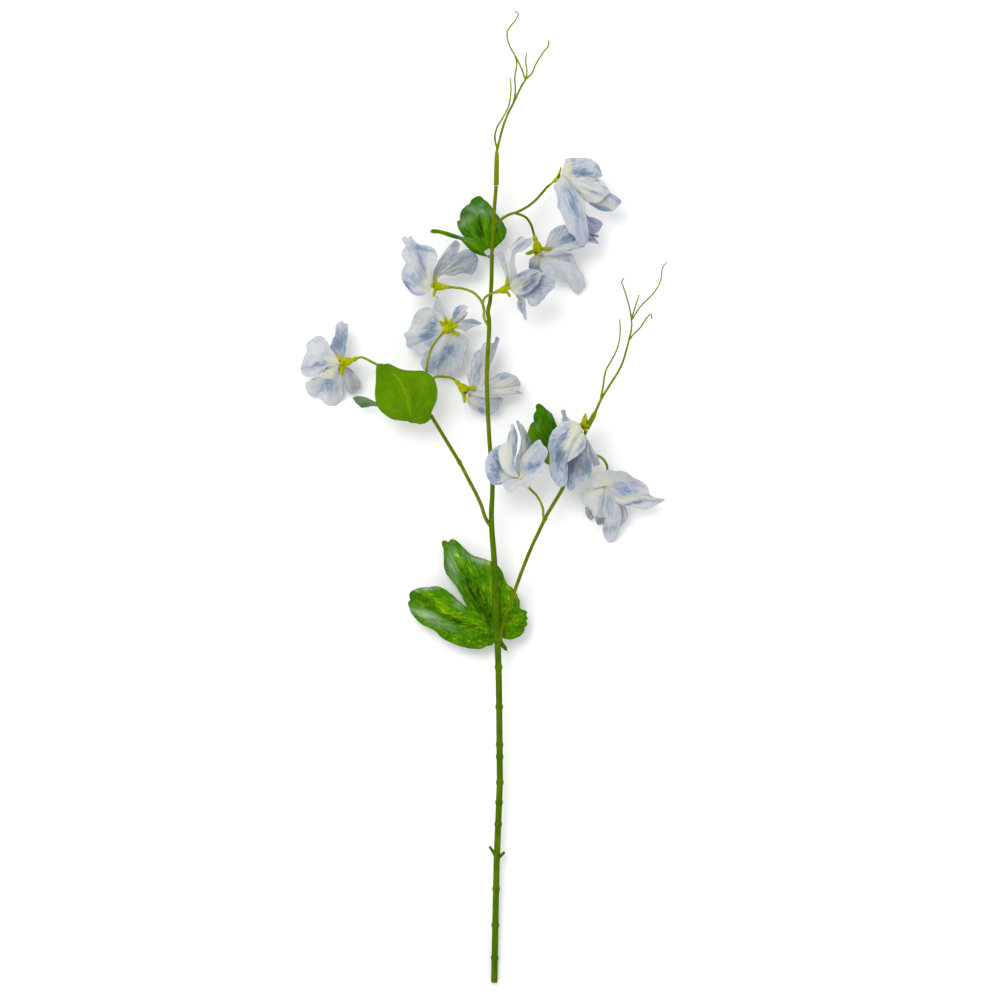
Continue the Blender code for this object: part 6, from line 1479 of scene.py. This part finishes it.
def build_leaves():
    """The leaves, each with its lobes and its petiole."""
    for number, (name, (petiole, shapes)) in enumerate(LEAVES.items()):
        claw = np.array(petiole[-1][:3], float)
        parts = [leaf_lobe(f"{name}_{index}", claw, shape, LEAF_SEED * number + index)
                 for index, shape in enumerate(shapes)]
        leaf = join_pieces(name.replace("leaf", "moulded_leaf"), parts + [rod("petiole", petiole)])
        paint, slot = LEAF_KIND[name]
        finish_piece(leaf, PAINTS[paint], slot, name)


def build_calyx(name, blossom):
    """A blossom's bell and its sepals."""
    mouth, aim, side, over = calyx_frame(blossom)
    parts = [calyx_bell(name + "_bell", blossom)]
    for turn, length, width, lean in blossom.sepals:
        turn = math.radians(turn)
        outward = math.cos(turn) * side + math.sin(turn) * over
        root = mouth + SEPAL_RING * blossom.girth * outward - SEPAL_SINK * aim
        parts.append(sepal(root, outward, aim, length, width, lean))
    calyx = join_pieces(name + "_cup", parts)
    finish_piece(calyx, PAINTS["calyx"], "calyx", name + "_calyx")


def build_blossoms():
    """Each blossom's calyx, then its layers of petals, which meet at their claw."""
    for number, (name, blossom) in enumerate(BLOSSOMS.items()):
        build_calyx(name, blossom)
        for layer, slot, layer_seed in PETAL_LAYERS:
            if getattr(blossom, layer) is None:
                continue
            level, shapes = getattr(blossom, layer)
            lift = level * CLAW_STEP
            claw = np.array(blossom.claw, float) + (0, 0, lift)
            parts = []
            for index, shape in enumerate(shapes):
                seed = BLOSSOM_SEED * number + PETAL_SEED * index + layer_seed
                parts.append(petal(f"{name}_{layer}_{index}", claw, shape, lift, seed))
            petals = join_pieces(f"{name}_{layer}_cloth", parts + [claw_bead(claw)])
            finish_piece(petals, PAINTS[layer], slot, f"{name}_{layer}")


# ---------------------------------------------------------------- stage


def lay_table():
    """A plain pale table under the spray."""
    start_fresh()
    bpy.ops.mesh.primitive_plane_add(size=TABLE_SIZE, location=(0, 0, -TABLE_DROP))
    table = bpy.context.object
    table.name = "pale_table"
    bpy.ops.object.transform_apply(location=True, rotation=False, scale=False)
    paint, _, _ = new_paint("pale_table", Base_Color=TABLE_GREY, Roughness=0.9)
    table.data.materials.append(paint)


def light_studio():
    """Soft light from a pale room, brightest near its walls, and from a wide panel."""
    world = bpy.data.worlds.new("studio")
    bpy.context.scene.world = world
    world.use_nodes = True
    tree = world.node_tree
    backdrop = tree.nodes["Background"]
    backdrop.inputs["Color"].default_value = (1.0, 1.0, 1.0, 1.0)
    direction = node(tree, "ShaderNodeTexCoord")
    split = node(tree, "ShaderNodeSeparateXYZ")
    tree.links.new(direction.outputs["Generated"], split.inputs[0])
    strength = ramp(tree, split.outputs["Z"], 0.6, 0.97, WALL_LIGHT, CEILING_LIGHT)
    tree.links.new(strength, backdrop.inputs["Strength"])
    bpy.ops.object.light_add(type="AREA", location=PANEL_PLACE)
    panel = bpy.context.object
    panel.name = "wide_panel"
    panel.data.shape = "DISK"
    panel.data.size = 2.4
    panel.data.energy = 75
    panel.rotation_euler = Vector(PANEL_PLACE).to_track_quat("Z", "Y").to_euler()


def set_camera():
    """A long lens straight above the spray."""
    bpy.ops.object.camera_add(location=CAMERA_PLACE, rotation=(0, 0, 0))
    camera = bpy.context.object
    camera.name = "overhead_camera"
    camera.data.sensor_width = 36.0
    camera.data.lens = 150.0
    camera.data.clip_end = 50.0
    scene = bpy.context.scene
    scene.camera = camera
    scene.view_settings.view_transform = "Standard"
    scene.view_settings.look = "None"


lay_table()
light_studio()
set_camera()
GROUPS = {
    "weave": make_weave_group(),
    "veins": make_vein_group(),
    "grain": make_grain_group(),
    "leaf_veins": make_leaf_vein_group(),
}
# Dark slate grey-blue: partly a slate tint, mostly painted shade on the petals.
SLATE_AND_SHADE_DYE = colour(80, 92, 106)
# Pale grey-green that the gloss mask paints on the leaves as a highlight.
PAINTED_LEAF_HIGHLIGHT = colour(132, 156, 122)
PAINTS = {
    "stem": moulded_stem(
        "olive_stem", colour(62, 96, 0), colour(84, 110, 2), colour(38, 60, 0), dullness=0.5,
        upper=colour(104, 118, 0)),
    "branch": moulded_stem(
        "olive_branch", colour(86, 104, 0), colour(106, 122, 6), colour(58, 76, 0), dullness=0.5),
    "stalk": moulded_stem(
        "olive_stalk", colour(112, 130, 6), colour(140, 154, 24), colour(80, 98, 0), dullness=0.45),
    "tendril": moulded_stem(
        "young_tendril", colour(96, 122, 0), colour(122, 144, 10), colour(72, 96, 0), dullness=0.5),
    "calyx": moulded_stem(
        "yellow_calyx", colour(142, 148, 0), colour(172, 176, 4), colour(92, 98, 0), dullness=0.55),
    "banner": petal_cloth(
        "banner_cloth", colour(196, 198, 200), colour(100, 128, 154), colour(200, 199, 176),
        colour(136, 134, 172)),
    "wings": petal_cloth(
        "wing_cloth", colour(197, 199, 200), colour(100, 128, 154), colour(198, 198, 176),
        colour(134, 132, 170)),
    "keel": petal_cloth(
        "keel_cloth", colour(197, 199, 200), colour(104, 132, 156), colour(202, 201, 176),
        colour(138, 136, 172)),
    "leaf_dark": moulded_leaf(
        "dark_leaf", colour(30, 94, 0), colour(96, 142, 2), colour(4, 44, 0), colour(96, 136, 4),
        flecking=0.25, dullness=0.35),
    "leaf_variegated": moulded_leaf(
        "variegated_leaf", colour(50, 114, 0), colour(100, 152, 0), colour(0, 50, 0), colour(170, 188, 8),
        flecking=0.75, dullness=0.35),
    "leaf_bright": moulded_leaf(
        "bright_leaf", colour(74, 118, 0), colour(110, 146, 4), colour(48, 84, 0), colour(98, 136, 2),
        flecking=0.3, dullness=0.55),
    "leaf_grey": moulded_leaf(
        "grey_leaf", colour(84, 118, 78), colour(104, 132, 70), colour(60, 94, 60), colour(112, 140, 104),
        flecking=0.3, dullness=0.5),
}
build_stems()
build_tendrils()
build_leaves()
build_blossoms()
